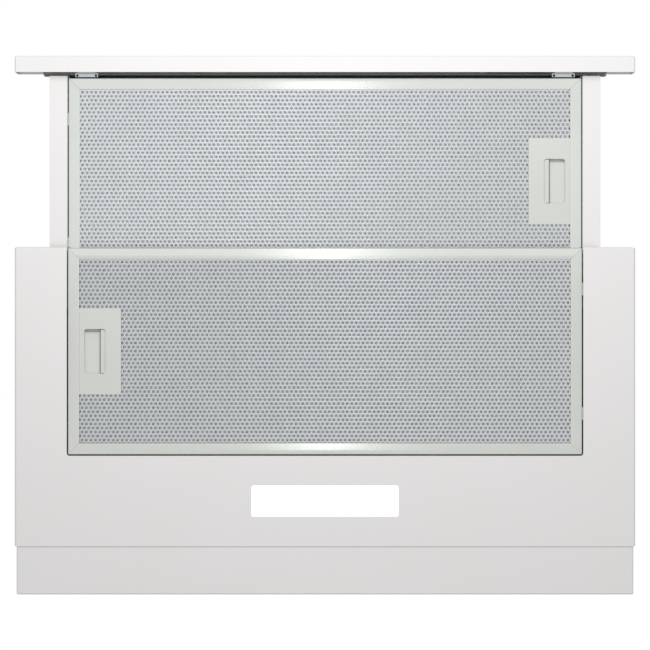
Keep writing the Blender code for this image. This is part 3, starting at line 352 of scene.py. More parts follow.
rear_wall = add_box("inner_rear_wall", (pan_low.x + SHEET, inner_wall - SHEET, pan_low.z + SHEET),
                    (pan_high.x - SHEET, inner_wall, -SHEET))
join(pan, rear_wall)
round_edges(pan, 0.00025)
fit(pan, white_coat, "hood", "painted_steel", "base_pan")


# ---- Wall spacer -------------------------------------------------------------------------------
# A second folded steel tray that slides inside the back of the pan and closes the gap to the wall.
# Same 1 mm sheet and powder coat as the pan; its rear wall has the two keyholes of a wall hook.
spacer_low, spacer_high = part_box("rear_spacer")
spacer = fold_box("wall_spacer_tray", spacer_low, spacer_high, ("-y",), 0.0015, 4, SHEET)
key_z = (spacer_low.z + spacer_high.z) / 2
hole_z = key_z - 0.004
near, beyond = spacer_high.y - 0.003, spacer_high.y + 0.002
for key_x in (-0.2, 0.2):
    cut_out(spacer, add_rod("keyhole", (key_x, near, hole_z), (key_x, beyond, hole_z), 0.0045))
    cut_out(spacer, add_box("keyhole_slot", (key_x - 0.0022, near, hole_z),
                            (key_x + 0.0022, beyond, key_z + 0.008)))
round_edges(spacer, 0.00025)
fit(spacer, white_coat, "wall_spacer", "painted_steel", "rear_spacer")


# ---- Lamp --------------------------------------------------------------------------------------
# A frosted opal acrylic window pushed up into the pan, with a moulded ABS housing behind it that
# carries a white LED board. The window glows evenly from edge to edge.
def moulded_plastic(name, colour, shade, roughness):
    """Injection-moulded plastic from a spark-eroded tool: an even fine grain and a low sheen."""
    material, tree, shader = start_material(name, colour, roughness, ior=1.54)
    spark = noise(tree, 0.0009)
    vary_colour(tree, shader, noise(tree, 0.03, 3.0), colour, shade)
    vary_gloss(tree, shader, spark, roughness - 0.06, roughness + 0.06)
    add_bump(tree, shader, spark, 0.4, 0.00006)
    return material


def vary_spots(tree, shader, distance, spot, spot_end, ground, ground_start):
    """Colour the spots round each centre of a pattern one way and the ground between them another."""
    ramp = add_node(tree, "ValToRGB", {"Fac": distance})
    first, second = ramp.color_ramp.elements
    first.color, first.position = linear(spot), spot_end
    second.color, second.position = linear(ground), ground_start
    tree.links.new(ramp.outputs["Color"], shader.inputs["Base Color"])


white_abs = moulded_plastic("moulded_abs_white", "EFEEEB", "EAE9E6", 0.42)
opal, tree, shader = start_material("opal_acrylic_window_lit", "F6F6F2", 0.45, ior=1.49)
shader.inputs["Emission Color"].default_value = linear("FFFFFF")
shader.inputs["Emission Strength"].default_value = 1.6
add_bump(tree, shader, noise(tree, 0.0008), 0.3, 0.00005)

PANE = 0.0018
rim = 0.003
lens = rounded_box("lamp_window_pane", (lens_low.x + rim, lens_low.y + rim, lens_low.z),
                   (lens_high.x - rim, lens_high.y - rim, lens_low.z + PANE), 0.0014)
enter_edit()
select_faces(lambda middle, normal: normal.z > 0.9)
bpy.ops.mesh.extrude_region_move()
bpy.ops.transform.resize(value=(1.027, 1.12, 1))
flange = lens_high.z - lens_low.z - PANE
bpy.ops.mesh.extrude_region_move(TRANSFORM_OT_translate={"value": (0, 0, flange)})
leave_edit()
round_edges(lens, 0.0004, 3)
fit(lens, opal, "hood", "lamp_diffuser", "lamp_lens")

housing_low, housing_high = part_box("lamp_housing")
housing = rounded_box("lamp_housing_tub", housing_low, housing_high, 0.003)
enter_edit()
delete_faces(lambda middle, normal: normal.z < -0.9)
leave_edit()
thicken(housing, 0.0012)
for rib in range(9):
    x = housing_low.x + (housing_high.x - housing_low.x) * (rib + 1) / 10
    join(housing, add_box("cooling_rib", (x - 0.0006, housing_low.y + 0.001, housing_high.z - 0.0055),
                          (x + 0.0006, housing_low.y + 0.0016, housing_high.z - 0.0002)))
round_edges(housing, 0.0003)
fit(housing, white_abs, "hood", "white_plastic", "lamp_housing")

led_white, tree, shader = start_material("white_solder_mask", "E2E3E0", 0.4)
place = add_node(tree, "TexCoord").outputs["Object"]
chips = add_node(tree, "TexVoronoi", {"Vector": place, "Scale": 1 / 0.006, "Randomness": 0.0})
vary_spots(tree, shader, chips.outputs["Distance"], "F3E9B0", 0.20, "E2E3E0", 0.24)


def coat_node(name, material):
    """A CAD piece whose shape is right keeps it, and gets its real material."""
    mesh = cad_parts[name].data
    mesh.materials.clear()
    mesh.materials.append(material)


coat_node("led_board", led_white)


# ---- Front bar ---------------------------------------------------------------------------------
# The drawer's handle: a 1.2 mm steel channel, folded along its front edges and coated white, closed
# at each end by a moulded cap that is chamfered at its rear corner. The switches sit in its front.
bar_low, bar_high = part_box("fascia")
bar = fold_box("front_bar_channel", bar_low, bar_high, ("+y",), 0.0016, 5, 0.0012)
bezel_low, bezel_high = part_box("control_bezel")
cut_out(bar, rounded_box("switch_window", (bezel_low.x - PLAY, bar_low.y - BEYOND, bezel_low.z - PLAY),
                         (bezel_high.x + PLAY, bar_low.y + 0.004, bezel_high.z + PLAY), 0.0015, axis=1))
round_edges(bar, 0.0002)
fit(bar, white_coat, "drawer", "painted_steel", "fascia")

cap_plastic = moulded_plastic("moulded_abs_cap_white", "F4F4F1", "EEEEEB", 0.5)
for word, side in (("left", -1), ("right", 1)):
    cap_low, cap_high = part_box("fascia_end_cap_" + word)
    cap = add_box("bar_end_plug_" + word, cap_low, cap_high)
    enter_edit()
    delete_faces(lambda middle, normal: normal.x * side < -0.9)
    outer = cap_high.x if side > 0 else cap_low.x
    select_edges(lambda a, b: shared_planes(a, b, ((0, outer), (1, cap_high.y))) == 2)
    bpy.ops.mesh.bevel(offset=0.0032, segments=1, affect="EDGES")
    select_edges(lambda a, b: shared_planes(a, b, ((2, cap_low.z), (1, cap_high.y))) == 2)
    bpy.ops.mesh.bevel(offset=0.0009, segments=1, affect="EDGES")
    leave_edit()
    thicken(cap, 0.002)
    for level in (-0.029, -0.021, -0.013):
        low_x, high_x = sorted((cap_low.x + 0.0015, cap_high.x - 0.0015))
        join(cap, add_box("cap_rib", (low_x, cap_high.y - 0.009, level - 0.0005),
                          (high_x, cap_high.y - 0.001, level + 0.0005)))
    round_edges(cap, 0.0003)
    fit(cap, cap_plastic, "drawer", "white_plastic", "fascia_end_cap_" + word)


# ---- Slide switches ----------------------------------------------------------------------------
# A grey moulded bezel clipped into the bar's front with two slots: the left knob sets the fan's
# speed, the right one the lamp. Bars of growing height and a lamp mark are moulded beside them.
grey_abs = moulded_plastic("moulded_abs_grey", "A9ABA8", "A3A5A2", 0.48)
black_abs = moulded_plastic("moulded_abs_black", "1C1D1E", "202122", 0.45)
knobs = {"fan_speed_knob": 0.024, "light_knob": 0.008}
bezel = rounded_box("switch_bezel", bezel_low, bezel_high, 0.0013, axis=1)
for name, travel in knobs.items():
    knob_low, knob_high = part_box(name)
    cut_out(bezel, rounded_box("slot", (knob_low.x - 0.0006, bezel_low.y - BEYOND, knob_low.z - PLAY),
                               (knob_high.x + travel + 0.0006, bezel_high.y + BEYOND, knob_high.z + PLAY),
                               0.0005, axis=1))
marks = []
fan_low, fan_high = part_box("fan_speed_knob")
light_low, light_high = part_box("light_knob")
mark_face, mark_root = bezel_low.y - 0.00025, bezel_low.y + 0.0004
for step in range(4):
    x = fan_low.x + 0.005 + step * 0.008
    marks.append(add_box("speed_mark", (x - 0.0004, mark_face, fan_high.z + 0.0010),
                         (x + 0.0004, mark_root, fan_high.z + 0.0014 + step * 0.0007)))
mark_z = light_high.z + 0.0024
for step, size in ((0, 0.0006), (1, 0.0012)):
    x = light_low.x + 0.005 + step * 0.008
    marks.append(add_rod("lamp_mark", (x, mark_face, mark_z), (x, mark_root, mark_z), size, 20))
join(bezel, *marks)
round_edges(bezel, 0.00015)
fit(bezel, grey_abs, "drawer", "grey_plastic", "control_bezel")

for name, travel in knobs.items():
    knob_low, knob_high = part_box(name)
    face = bezel_low.y + 0.002
    knob = rounded_box(name + "_slider", (knob_low.x, knob_low.y, knob_low.z),
                       (knob_high.x, face, knob_high.z), 0.0006, axis=1)
    for rib in range(4):
        x = knob_low.x + 0.0026 + rib * 0.0016
        cut_out(knob, add_box("grip_groove", (x - 0.0003, knob_low.y - 0.001, knob_low.z + 0.0006),
                              (x + 0.0003, knob_low.y + 0.0004, knob_high.z - 0.0006)))
    join(knob, add_box("knob_stem", (knob_low.x + 0.0033, face - 0.001, -0.0225),
                       (knob_high.x - 0.0033, knob_high.y, -0.0205)))
    round_edges(knob, 0.0001)
    fit(knob, white_abs, name, "white_plastic", name)
coat_node("control_switch_unit", black_abs)


# ---- Drawer: side rails, cover and crossmembers ------------------------------------------------
# Two white channels of 1 mm steel, open to the outside, carry the drawer's filter between them. A thin
# galvanised cover with pressed beads is spot-welded on top, and two crossmembers tie the rails.

# Hot-dip zinc on steel: flat crystals about 9 mm across, each a little lighter or duller.
zinc, tree, shader = start_material("galvanised_steel_spangled", "B4B8BA", 0.42, metallic=1.0)
place = add_node(tree, "TexCoord").outputs["Object"]
drift = add_node(tree, "TexNoise", {"Vector": place, "Scale": 1 / 0.006, "Detail": 2.0})
bent = add_node(tree, "Mix", {"Factor": 0.06, 4: place, 5: drift.outputs["Color"]}, data_type="VECTOR")
crystal = add_node(tree, "TexVoronoi", {"Vector": bent.outputs[1], "Scale": 1 / 0.009})
grey = add_node(tree, "SeparateColor", {"Color": crystal.outputs["Color"]})
vary_colour(tree, shader, grey.outputs[0], "A9AEB1", "C4C8CA")
vary_gloss(tree, shader, grey.outputs[1], 0.33, 0.52)

for word, side in (("left", -1), ("right", 1)):
    rail_low, rail_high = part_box("drawer_side_rail_" + word)
    outward = "+x" if side > 0 else "-x"
    rail = fold_box("drawer_rail_channel_" + word, rail_low, rail_high, (outward, "-y", "+y"),
                    0.0014, 4, SHEET)
    inner = rail_low.x if side > 0 else rail_high.x
    bracket_low, bracket_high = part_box("drawer_filter_frame")
    middle_y = (bracket_low.y + bracket_high.y) / 2
    slots = ((0.0105, 0.0),) if side > 0 else ((0.0065, -0.06), (0.0065, 0.06))
    for half, offset in slots:
        cut_out(rail, add_box("filter_slot", (inner - 0.002, middle_y + offset - half, rail_low.z + 0.0037),
                              (inner + 0.002, middle_y + offset + half, rail_low.z + 0.0081)))
    round_edges(rail, 0.00025)
    fit(rail, white_coat, "drawer", "painted_steel", "drawer_side_rail_" + word)

cover_low, cover_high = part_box("drawer_top_cover")
cover = rounded_box("drawer_cover_sheet", cover_low, cover_high, 0.004)
for x in (-0.16, 0.0, 0.16):
    for low_y in (cover_low.y + 0.05, cover_high.y - 0.058):
        fuse(cover, rounded_box("pressed_bead", (x - 0.055, low_y, cover_high.z - 0.0002),
                                (x + 0.055, low_y + 0.008, cover_high.z + 0.0007), 0.0039))
round_edges(cover, 0.0003)
fit(cover, zinc, "drawer", "galvanised_steel", "drawer_top_cover")
coat_node("drawer_rear_crossmember", white_coat)
for word in ("left", "right"):
    coat_node("runner_inner_" + word, zinc)
    coat_node("runner_outer_" + word, zinc)


# ---- Bar clips ---------------------------------------------------------------------------------
# Two strips of 0.8 mm bright-plated spring steel, folded so that the foot hooks into the bar and the
# plate lies under the drawer, each held up by two small screws.
def rolling_lines(tree, along, length, width, detail):
    """Noise drawn out along one axis, like the fine lines that rolls leave in sheet metal."""
    scale = [1 / width] * 3
    scale[along] = 1 / length
    place = add_node(tree, "TexCoord").outputs["Object"]
    drawn = add_node(tree, "Mapping", {"Vector": place, "Scale": scale}).outputs["Vector"]
    return add_node(tree, "TexNoise", {"Vector": drawn, "Scale": 1.0, "Detail": detail}).outputs["Fac"]


def plated_steel(name, colour, shade, roughness):
    """Bright zinc or nickel plate over cold-rolled steel: fine rolling lines under a smooth skin."""
    material, tree, shader = start_material(name, colour, roughness, metallic=1.0)
    lines = rolling_lines(tree, 0, 0.02, 0.0006, 3.0)
    vary_colour(tree, shader, lines, colour, shade)
    vary_gloss(tree, shader, lines, roughness - 0.07, roughness + 0.07)
    return material


def fold_strip(name, low_x, high_x, profile, thickness):
    """A strip of sheet metal folded along a profile in Y and Z, from low_x to high_x."""
    bpy.ops.object.select_all(action="DESELECT")
    bpy.ops.mesh.primitive_plane_add(size=1)
    piece = bpy.context.object
    piece.name = name
    piece.data.name = name
    enter_edit()
    bpy.ops.mesh.select_mode(type="VERT")
    select_everything()
    bpy.ops.mesh.delete(type="ONLY_FACE")
    shape = bmesh.from_edit_mesh(piece.data)
    for corner in shape.verts:
        corner.co = (low_x if corner.co.x < 0 else high_x, *profile[0])
    bmesh.ops.remove_doubles(shape, verts=shape.verts, dist=1e-7)
    for corner in shape.verts:
        corner.select_set(True)
    shape.select_flush(True)
    bmesh.update_edit_mesh(piece.data)
    for (y0, z0), (y1, z1) in zip(profile, profile[1:]):
        bpy.ops.mesh.extrude_region_move(TRANSFORM_OT_translate={"value": (0, y1 - y0, z1 - z0)})
    select_everything()
    bpy.ops.mesh.normals_make_consistent(inside=False)
    leave_edit()
    apply_modifier(piece, "BEVEL", width=thickness * 0.8, segments=4, limit_method="ANGLE",
                   angle_limit=math.radians(50))
    thicken(piece, thickness, 0)
    return piece


bright_steel = plated_steel("bright_plated_spring_steel", "C9CED2", "BEC4C9", 0.28)
black_zinc = plated_steel("black_zinc_screw", "3A3B3D", "323335", 0.40)
# The front crossmember's steel is coloured dark grey as painted shade: it stands for the deep shadow in the
# gap between the bar and the drawer's filter, and is darker than the bare steel would be.
crossmember_painted_shade = plated_steel("crossmember_steel_painted_shade", "7E8080", "727474", 0.55)
coat_node("drawer_front_crossmember", crossmember_painted_shade)
strip, notch = 0.0008, 0.0025
for word in ("left", "right"):
    clip_low, clip_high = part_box("fascia_clip_" + word)
    plate_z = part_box("clip_screw_" + word + "_outer")[0].z
    front = bar_high.y + PLAY
    clip = rounded_box("bar_clip_" + word, (clip_low.x, front, plate_z),
                       (clip_high.x, clip_high.y, plate_z + strip), 0.0008)
    foot = fold_strip("clip_foot", clip_low.x + notch, clip_high.x - notch,
                      ((clip_low.y, clip_low.z + strip / 2), (front + strip / 2, clip_low.z + strip / 2),
                       (front + strip / 2, plate_z + strip / 2)), strip)
    tab = add_box("clip_tab", (clip_low.x + notch, front, plate_z + strip / 4),
                  (clip_high.x - notch, front + strip, clip_high.z))
    for end in ("outer", "inner"):
        screw_low, screw_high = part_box("clip_screw_" + word + "_" + end)
        middle = (screw_low + screw_high) / 2
        cut_out(clip, upright("screw_hole", middle, plate_z - 0.001, plate_z + 0.002, 0.0012, 20))
        screw = upright("clip_screw_head_" + word + "_" + end, middle, screw_low.z, screw_high.z,
                        0.0009, 20)
        slot_low = Vector((middle.x, middle.y, screw_low.z - 0.001))
        slot_high = Vector((middle.x, middle.y, screw_low.z + 0.0004))
        for reach in (Vector((0.00012, 0.0006, 0)), Vector((0.0006, 0.00012, 0))):
            cut_out(screw, add_box("cross_recess", slot_low - reach, slot_high + reach))
        round_edges(screw, 0.0001)
        fit(screw, black_zinc, "drawer", "spring_steel", "clip_screw_" + word + "_" + end)
    join(clip, foot, tab)
    round_edges(clip, 0.0001)
    fit(clip, bright_steel, "drawer", "spring_steel", "fascia_clip_" + word)


# ---- Filter frames -----------------------------------------------------------------------------
# Each grease filter is a cassette: a channel of 0.8 mm aluminium strip rolled round the edge, with fine
# mitre seams at the corners, two hooked lugs at one end and a slot for the latch's bolt at the other.
# The drawer's cassette is the same one turned round.
def rolled_aluminium(name, along):
    """Mill-finished aluminium strip: faint rolling lines along its length, with a soft sheen."""
    material, tree, shader = start_material(name, "E4E7E0", 0.30, metallic=1.0)
    lines = rolling_lines(tree, along, 0.05, 0.0007, 4.0)
    vary_colour(tree, shader, noise(tree, 0.04), "DADDD8", "D2D5D0")
    vary_gloss(tree, shader, lines, 0.14, 0.22)
    add_bump(tree, shader, lines, 0.2, 0.00001)
    return material


RAIL, SKIN = 0.0108, 0.0008
BOLT_WAY = 0.0103
long_strip = rolled_aluminium("rolled_aluminium_long_strip", 0)
short_strip = rolled_aluminium("rolled_aluminium_short_strip", 1)
cassette_low, cassette_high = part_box("body_filter_frame")
cassette_high.x = -cassette_low.x
turned_low, turned_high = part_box("drawer_filter_frame")
turned_low.x = -turned_high.x
centre = (cassette_low + cassette_high) / 2
turned_centre = (turned_low + turned_high) / 2
to_drawer = (Matrix.Translation(turned_centre) @ Matrix.Rotation(math.pi, 4, "Z")
             @ Matrix.Translation(-centre))
lug_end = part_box("body_filter_frame")[1].x


def turned_copy(piece, name):
    """The same piece on the drawer's cassette, with a mesh of its own."""
    copy = piece.copy()
    copy.data = piece.data.copy()
    copy.name = name
    copy.data.name = name
    show(copy)
    copy.data.transform(to_drawer)
    return copy


ring = add_box("body_cassette_frame", cassette_low, cassette_high)
enter_edit()
select_faces(lambda middle, normal: abs(normal.z) > 0.9)
bpy.ops.mesh.inset(thickness=RAIL)
bpy.ops.mesh.delete(type="FACE")
round_folds(cassette_low, cassette_high, (), 0.0005, 3)
inset = Vector((RAIL, RAIL, 0))
window = planes_of(cassette_low + inset, cassette_high - inset, "-z", "+z")
for level, turn_in in ((cassette_low.z, 0.0009), (cassette_high.z, -0.0009)):
    select_edges(lambda a, b: abs(a.z - level) < 1e-6 and shared_planes(a, b, window) == 1)
    bpy.ops.mesh.extrude_region_move(TRANSFORM_OT_translate={"value": (0, 0, turn_in)})
leave_edit()
thicken(ring, SKIN)
slider_low, slider_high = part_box("body_filter_latch_slider")
cut_out(ring, add_box("bolt_slot", (cassette_low.x - 0.001, centre.y - BOLT_WAY, slider_high.z - 0.0017),
                      (cassette_low.x + 0.002, centre.y + BOLT_WAY, slider_high.z + PLAY)))
for lug_y in (centre.y - 0.06, centre.y + 0.06):
    join(ring, rounded_box("hooked_lug", (cassette_high.x - 0.0006, lug_y - 0.006, cassette_low.z + 0.004),
                           (lug_end, lug_y + 0.006, cassette_low.z + 0.0065), 0.0008))
round_edges(ring, 0.0002)
for side in (-1, 1):
    for corner_y, end in ((cassette_low.y, -1), (cassette_high.y, 1)):
        corner = Vector((side * cassette_high.x, corner_y, cassette_low.z))
        inner = corner - Vector((side * (RAIL + 0.002), end * (RAIL + 0.002), 0))
        cut_out(ring, add_rod("mitre_seam", corner, inner, 0.0001, 6))
drawer_ring = turned_copy(ring, "drawer_cassette_frame")


def strip_by_side(piece, material_along, material_across, low, high):
    """Long rails take the first material, the two ends beyond the mitres the second."""
    piece.data.materials.clear()
    piece.data.materials.append(material_along)
    piece.data.materials.append(material_across)
    for face in piece.data.polygons:
        from_end = min(face.center.x - low.x, high.x - face.center.x)
        from_side = min(face.center.y - low.y, high.y - face.center.y)
        face.material_index = int(from_end < from_side)


for piece, body, prefix, low, high in ((ring, "body_filter", "body_filter", cassette_low, cassette_high),
                                       (drawer_ring, "drawer", "drawer_filter", turned_low, turned_high)):
    fit(piece, long_strip, body, "filter_aluminium", prefix + "_frame")
    strip_by_side(piece, long_strip, short_strip, low, high)


# ---- Filter mesh -------------------------------------------------------------------------------
# Layers of expanded aluminium: slit and stretched foil 0.35 mm thick, with openings 4.3 mm apart in
# rows 3.9 mm apart, each row shifted by half. Stretching tilts every strand like a louvre, and all the
# louvres face the same way. A pad of crimped foil lies close behind. The drawer's foil and pad are
# painted lighter and the body's darker, as painted light and shade for how the light falls on each.
PITCH, ROW = 0.0043, 0.0039
FOIL, STRAND, FUNNEL = 0.00035, 0.00085, 0.00040
SAME_POINT = 0.00002


def foil_aluminium(name, colour, shade, roughness):
    """Bright expanded foil: smooth as rolled, with each strand catching the light differently."""
    material, tree, shader = start_material(name, colour, roughness, metallic=1.0)
    vary_colour(tree, shader, noise(tree, 0.02, 3.0), colour, shade)
    vary_gloss(tree, shader, noise(tree, 0.0012, 1.0), roughness - 0.08, roughness + 0.08)
    return material


# The foils and pads are lit and shaded copies of one aluminium: the lighter pair is painted light for the
# drawer, the darker pair is painted shade for the body.
foil_painted_light = foil_aluminium("expanded_aluminium_foil_bright", "DBDFE1", "D2D6D8", 0.30)
foil_painted_shade = foil_aluminium("expanded_aluminium_foil_dull", "D3D7D9", "C9CDCF", 0.30)
pad_painted_light = foil_aluminium("crimped_aluminium_pad_painted_light", "D6DADC", "C6CACC", 0.55)
pad_painted_shade = foil_aluminium("crimped_aluminium_pad_painted_shade", "C6CACC", "B6BABC", 0.55)
mesh_low, mesh_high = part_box("body_filter_mesh_lower")
upper_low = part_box("body_filter_mesh_upper")[0]
plate_low, plate_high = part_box("body_filter_latch_plate")
half_x = cassette_high.x - RAIL + 0.0018
half_y = (cassette_high.y - cassette_low.y) / 2 - RAIL + 0.0018
across = math.ceil(2 * half_x / PITCH) + 2
rows = math.ceil(half_y / ROW) + 1

bpy.ops.object.select_all(action="DESELECT")
bpy.ops.mesh.primitive_circle_add(vertices=6, radius=1, fill_type="NGON")
lower_mesh = bpy.context.object
lower_mesh.name = "body_mesh_lower"
lower_mesh.data.name = "body_mesh_lower"
enter_edit()
select_everything()
bpy.ops.transform.resize(value=(PITCH / math.sqrt(3), 2 * ROW / 3, 1))
bpy.ops.mesh.inset(thickness=STRAND)
bpy.ops.transform.translate(value=(0, 0, FUNNEL))
bpy.ops.transform.resize(value=(1, 0.80, 1), center_override=(0, 0, 0))
for tilt, axis in ((20, "X"), (10, "Y")):
    bpy.ops.transform.rotate(value=math.radians(tilt), orient_axis=axis, center_override=(0, 0, 0))
bpy.ops.mesh.delete(type="ONLY_FACE")
select_everything()
bpy.ops.mesh.duplicate_move(TRANSFORM_OT_translate={"value": (PITCH / 2, ROW, 0)})
select_everything()
bpy.ops.transform.translate(value=(-PITCH * across / 2, centre.y - ROW * rows,
                                   (mesh_low.z + mesh_high.z) / 2))
leave_edit()
for count, shift in ((across, (PITCH, 0, 0)), (rows, (0, 2 * ROW, 0))):
    apply_modifier(lower_mesh, "ARRAY", count=count, use_relative_offset=False, use_constant_offset=True,
                   constant_offset_displace=shift, use_merge_vertices=True, merge_threshold=SAME_POINT)
enter_edit()
select_everything()
bpy.ops.mesh.remove_doubles(threshold=SAME_POINT)
split_at(((0, -half_x, -1), (0, half_x, 1), (1, centre.y - half_y, -1), (1, centre.y + half_y, 1)),
         drop_beyond=True)
delete_faces(lambda middle, normal: plate_low.x - 0.02 < middle.x < plate_high.x - 0.0012
             and plate_low.y + 0.0012 < middle.y < plate_high.y - 0.0012)
select_everything()
bpy.ops.mesh.normals_make_consistent(inside=False)
leave_edit()
apply_modifier(lower_mesh, "SOLIDIFY", thickness=FOIL, offset=0)
choose(lower_mesh)
bpy.ops.object.shade_smooth_by_angle(angle=math.radians(40))

upper_mesh = lower_mesh.copy()
upper_mesh.data = lower_mesh.data.copy()
upper_mesh.name = "body_mesh_upper"
show(upper_mesh)
upper_mesh.data.transform(Matrix.Translation((0, 0, upper_low.z - mesh_low.z)))

pad_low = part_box("body_filter_pad")[0]
CRIMP, CRIMP_LENGTH = 0.0003, 0.006
bpy.ops.object.select_all(action="DESELECT")
bpy.ops.mesh.primitive_grid_add(x_subdivisions=640, y_subdivisions=2, size=1)
pad = bpy.context.object
pad.name = "body_crimped_pad"
enter_edit()
crimp = bmesh.from_edit_mesh(pad.data)
for corner in crimp.verts:
    x = corner.co.x * 2 * half_x
    wave = CRIMP * math.sin(2 * math.pi * x / CRIMP_LENGTH)
    corner.co = (x, centre.y + corner.co.y * 2 * half_y, pad_low.z + 0.0005 + wave)
bmesh.update_edit_mesh(pad.data)
split_at(((0, plate_high.x, 1), (1, plate_low.y, 1), (1, plate_high.y, 1)))
delete_faces(lambda middle, normal: middle.x < plate_high.x and plate_low.y < middle.y < plate_high.y)
leave_edit()
apply_modifier(pad, "SOLIDIFY", thickness=0.0002, offset=0)
choose(pad)
bpy.ops.object.shade_smooth_by_angle(angle=math.radians(40))

# The body's layers take the copies painted darker, as painted shade; the drawer's layers take the copies
# painted lighter, as painted light.
for piece, layer, foil, twin_foil in ((lower_mesh, "_mesh_lower", foil_painted_shade, foil_painted_light),
                                      (upper_mesh, "_mesh_upper", foil_painted_shade, foil_painted_light),
                                      (pad, "_pad", pad_painted_shade, pad_painted_light)):
    twin = turned_copy(piece, piece.name.replace("body", "drawer"))
    twin.data.transform(Matrix.Translation((0, 2 * turned_centre.y, 0)) @ Matrix.Scale(-1, 4, (0, 1, 0)))
    twin.data.flip_normals()
    fit(piece, foil, "body_filter", "expanded_aluminium", "body_filter" + layer)
    fit(twin, twin_foil, "drawer", "expanded_aluminium", "drawer_filter" + layer)


# ---- Filter latches ----------------------------------------------------------------------------
# A pressed plate, lacquered silver-grey, fills one end of each cassette. A fingertip goes into its recess
# and draws a small sliding ledge inwards against a spring that sits in the ledge's pocket, which pulls
# the bolt out of its slot. A blind slot lies behind the recess' front edge.
silver_lacquer, tree, shader = start_material("silver_grey_lacquer", "DADCD7", 0.35)
vary_colour(tree, shader, noise(tree, 0.05), "DADCD7", "D4D6D1")
vary_gloss(tree, shader, noise(tree, 0.0006, 1.0), 0.30, 0.42)
plate = add_box("body_latch_plate", plate_low, plate_high)
recess_outer, recess_inner = plate_low.x + 0.0048, plate_low.x + 0.0252
recess_half, recess_deep = 0.0215, 0.0051
floor_z = plate_low.z + recess_deep
cut_top = plate_high.z + 0.001
cutter = rounded_box("finger_recess", (recess_outer, centre.y - recess_half, plate_low.z - 0.002),
                     (recess_inner, centre.y + recess_half, floor_z), 0.0025)
enter_edit()
select_edges(lambda a, b: shared_planes(a, b, ((2, floor_z),)) == 1)
bpy.ops.mesh.bevel(offset=0.0009, segments=3, affect="EDGES")
leave_edit()
cut_out(plate, cutter)
ledge_half = recess_half - 0.0004
way_half = ledge_half + PLAY
cut_out(plate, add_box("ledge_way", (recess_inner - 0.0055, centre.y - way_half, plate_low.z + 0.0012),
                       (recess_inner + 0.0053, centre.y + way_half, cut_top)))
cut_out(plate, add_box("bolt_way", (plate_low.x - 0.001, centre.y - BOLT_WAY, slider_high.z - 0.0017),
                       (recess_inner, centre.y + BOLT_WAY, cut_top)))
cut_out(plate, add_box("spring_way", (recess_inner, centre.y - 0.003, plate_low.z + 0.0012),
                       (recess_inner + 0.0101, centre.y + 0.003, cut_top)))
round_edges(plate, 0.0001)

ledge = add_box("body_latch_ledge", (recess_inner - 0.0048, centre.y - ledge_half, slider_low.z),
                (recess_inner, centre.y + ledge_half, slider_high.z))
join(ledge, add_box("latch_bolt", (slider_low.x, centre.y - 0.010, slider_high.z - 0.0014),
                    (recess_inner - 0.002, centre.y + 0.010, slider_high.z)))
spring_low, spring_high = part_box("body_filter_latch_spring")
spring_middle = (spring_low + spring_high) / 2
cut_out(ledge, add_rod("spring_pocket", (recess_inner - 0.00455, spring_middle.y, spring_middle.z),
                       (recess_inner + 0.001, spring_middle.y, spring_middle.z), 0.0026))
round_edges(ledge, 0.0002)
slot_low = Vector((recess_outer + 0.0005, centre.y - recess_half + 0.0004, floor_z - 0.001))
slot_high = Vector((recess_inner - 0.0055, centre.y - recess_half + 0.0030, plate_high.z - 0.0006))
rise = Vector((0, turned_centre.y - centre.y, turned_centre.z - centre.z))
drawer_plate = turned_copy(plate, "drawer_latch_plate")
cut_out(plate, add_box("slot_behind_edge", slot_low, slot_high))
cut_out(drawer_plate, add_box("slot_behind_edge", Vector((-slot_high.x, *slot_low.yz)) + rise,
                              Vector((-slot_low.x, *slot_high.yz)) + rise))
drawer_ledge = turned_copy(ledge, "drawer_latch_ledge")
for piece, body, node in ((plate, "body_filter", "body_filter_latch_plate"),
                          (drawer_plate, "drawer", "drawer_filter_latch_plate"),
                          (ledge, "body_filter_latch", "body_filter_latch_slider"),
                          (drawer_ledge, "drawer_filter_latch", "drawer_filter_latch_slider")):
    fit(piece, silver_lacquer, body, "filter_aluminium", node)
for prefix in ("body_filter", "drawer_filter"):
    coat_node(prefix + "_latch_spring", bright_steel)
coat_node("filter_hinge_bracket", zinc)
coat_node("filter_catch", zinc)


# ---- Fan box -----------------------------------------------------------------------------------
# A galvanised box that stands inside the cabinet: one folded sheet whose flaps lap at the corners and
# are riveted, with pressed beads that stiffen its roof and walls and a round outlet on top.
fan_box = add_box("fan_box_shell", box_low, box_high)
enter_edit()
select_faces(lambda middle, normal: normal.z < -0.9)
bpy.ops.mesh.inset(thickness=BOX_FLANGE)
bpy.ops.mesh.delete(type="FACE")
round_folds(box_low, box_high, ("-z",), BEND, 4)
leave_edit()
thicken(fan_box, SHEET)
BORE = 0.0578
collar_low, collar_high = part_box("outlet_collar")
collar_mid = (collar_low + collar_high) / 2
gland_low, gland_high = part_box("cable_gland")
gland_mid = (gland_low + gland_high) / 2
for middle, radius in ((collar_mid, BORE), (gland_mid, 0.0063)):
    cut_out(fan_box, upright("roof_hole", middle, box_high.z - 0.01, box_high.z + 0.01, radius, FINE))
BEAD_HALF, BEAD_HIGH, BEAD_DEEP, BEAD_ROUND = 0.004, 0.0012, 0.0005, 0.0039
bead_low, bead_high = box_low.y + 0.03, box_high.y - 0.03
wall_levels = (0.050, 0.115)
for x in (-0.105, -0.160, 0.105, 0.160):
    fuse(fan_box, rounded_box("roof_bead", (x - BEAD_HALF, bead_low, box_high.z - BEAD_DEEP),
                              (x + BEAD_HALF, bead_high, box_high.z + BEAD_HIGH), BEAD_ROUND))
for side in (-1, 1):
    wall_x = box_high.x if side > 0 else box_low.x
    low_x, high_x = sorted((wall_x - side * BEAD_DEEP, wall_x + side * BEAD_HIGH))
    for level in wall_levels:
        fuse(fan_box, rounded_box("wall_bead", (low_x, bead_low, level - BEAD_HALF),
                                  (high_x, bead_high, level + BEAD_HALF), BEAD_ROUND, axis=0))
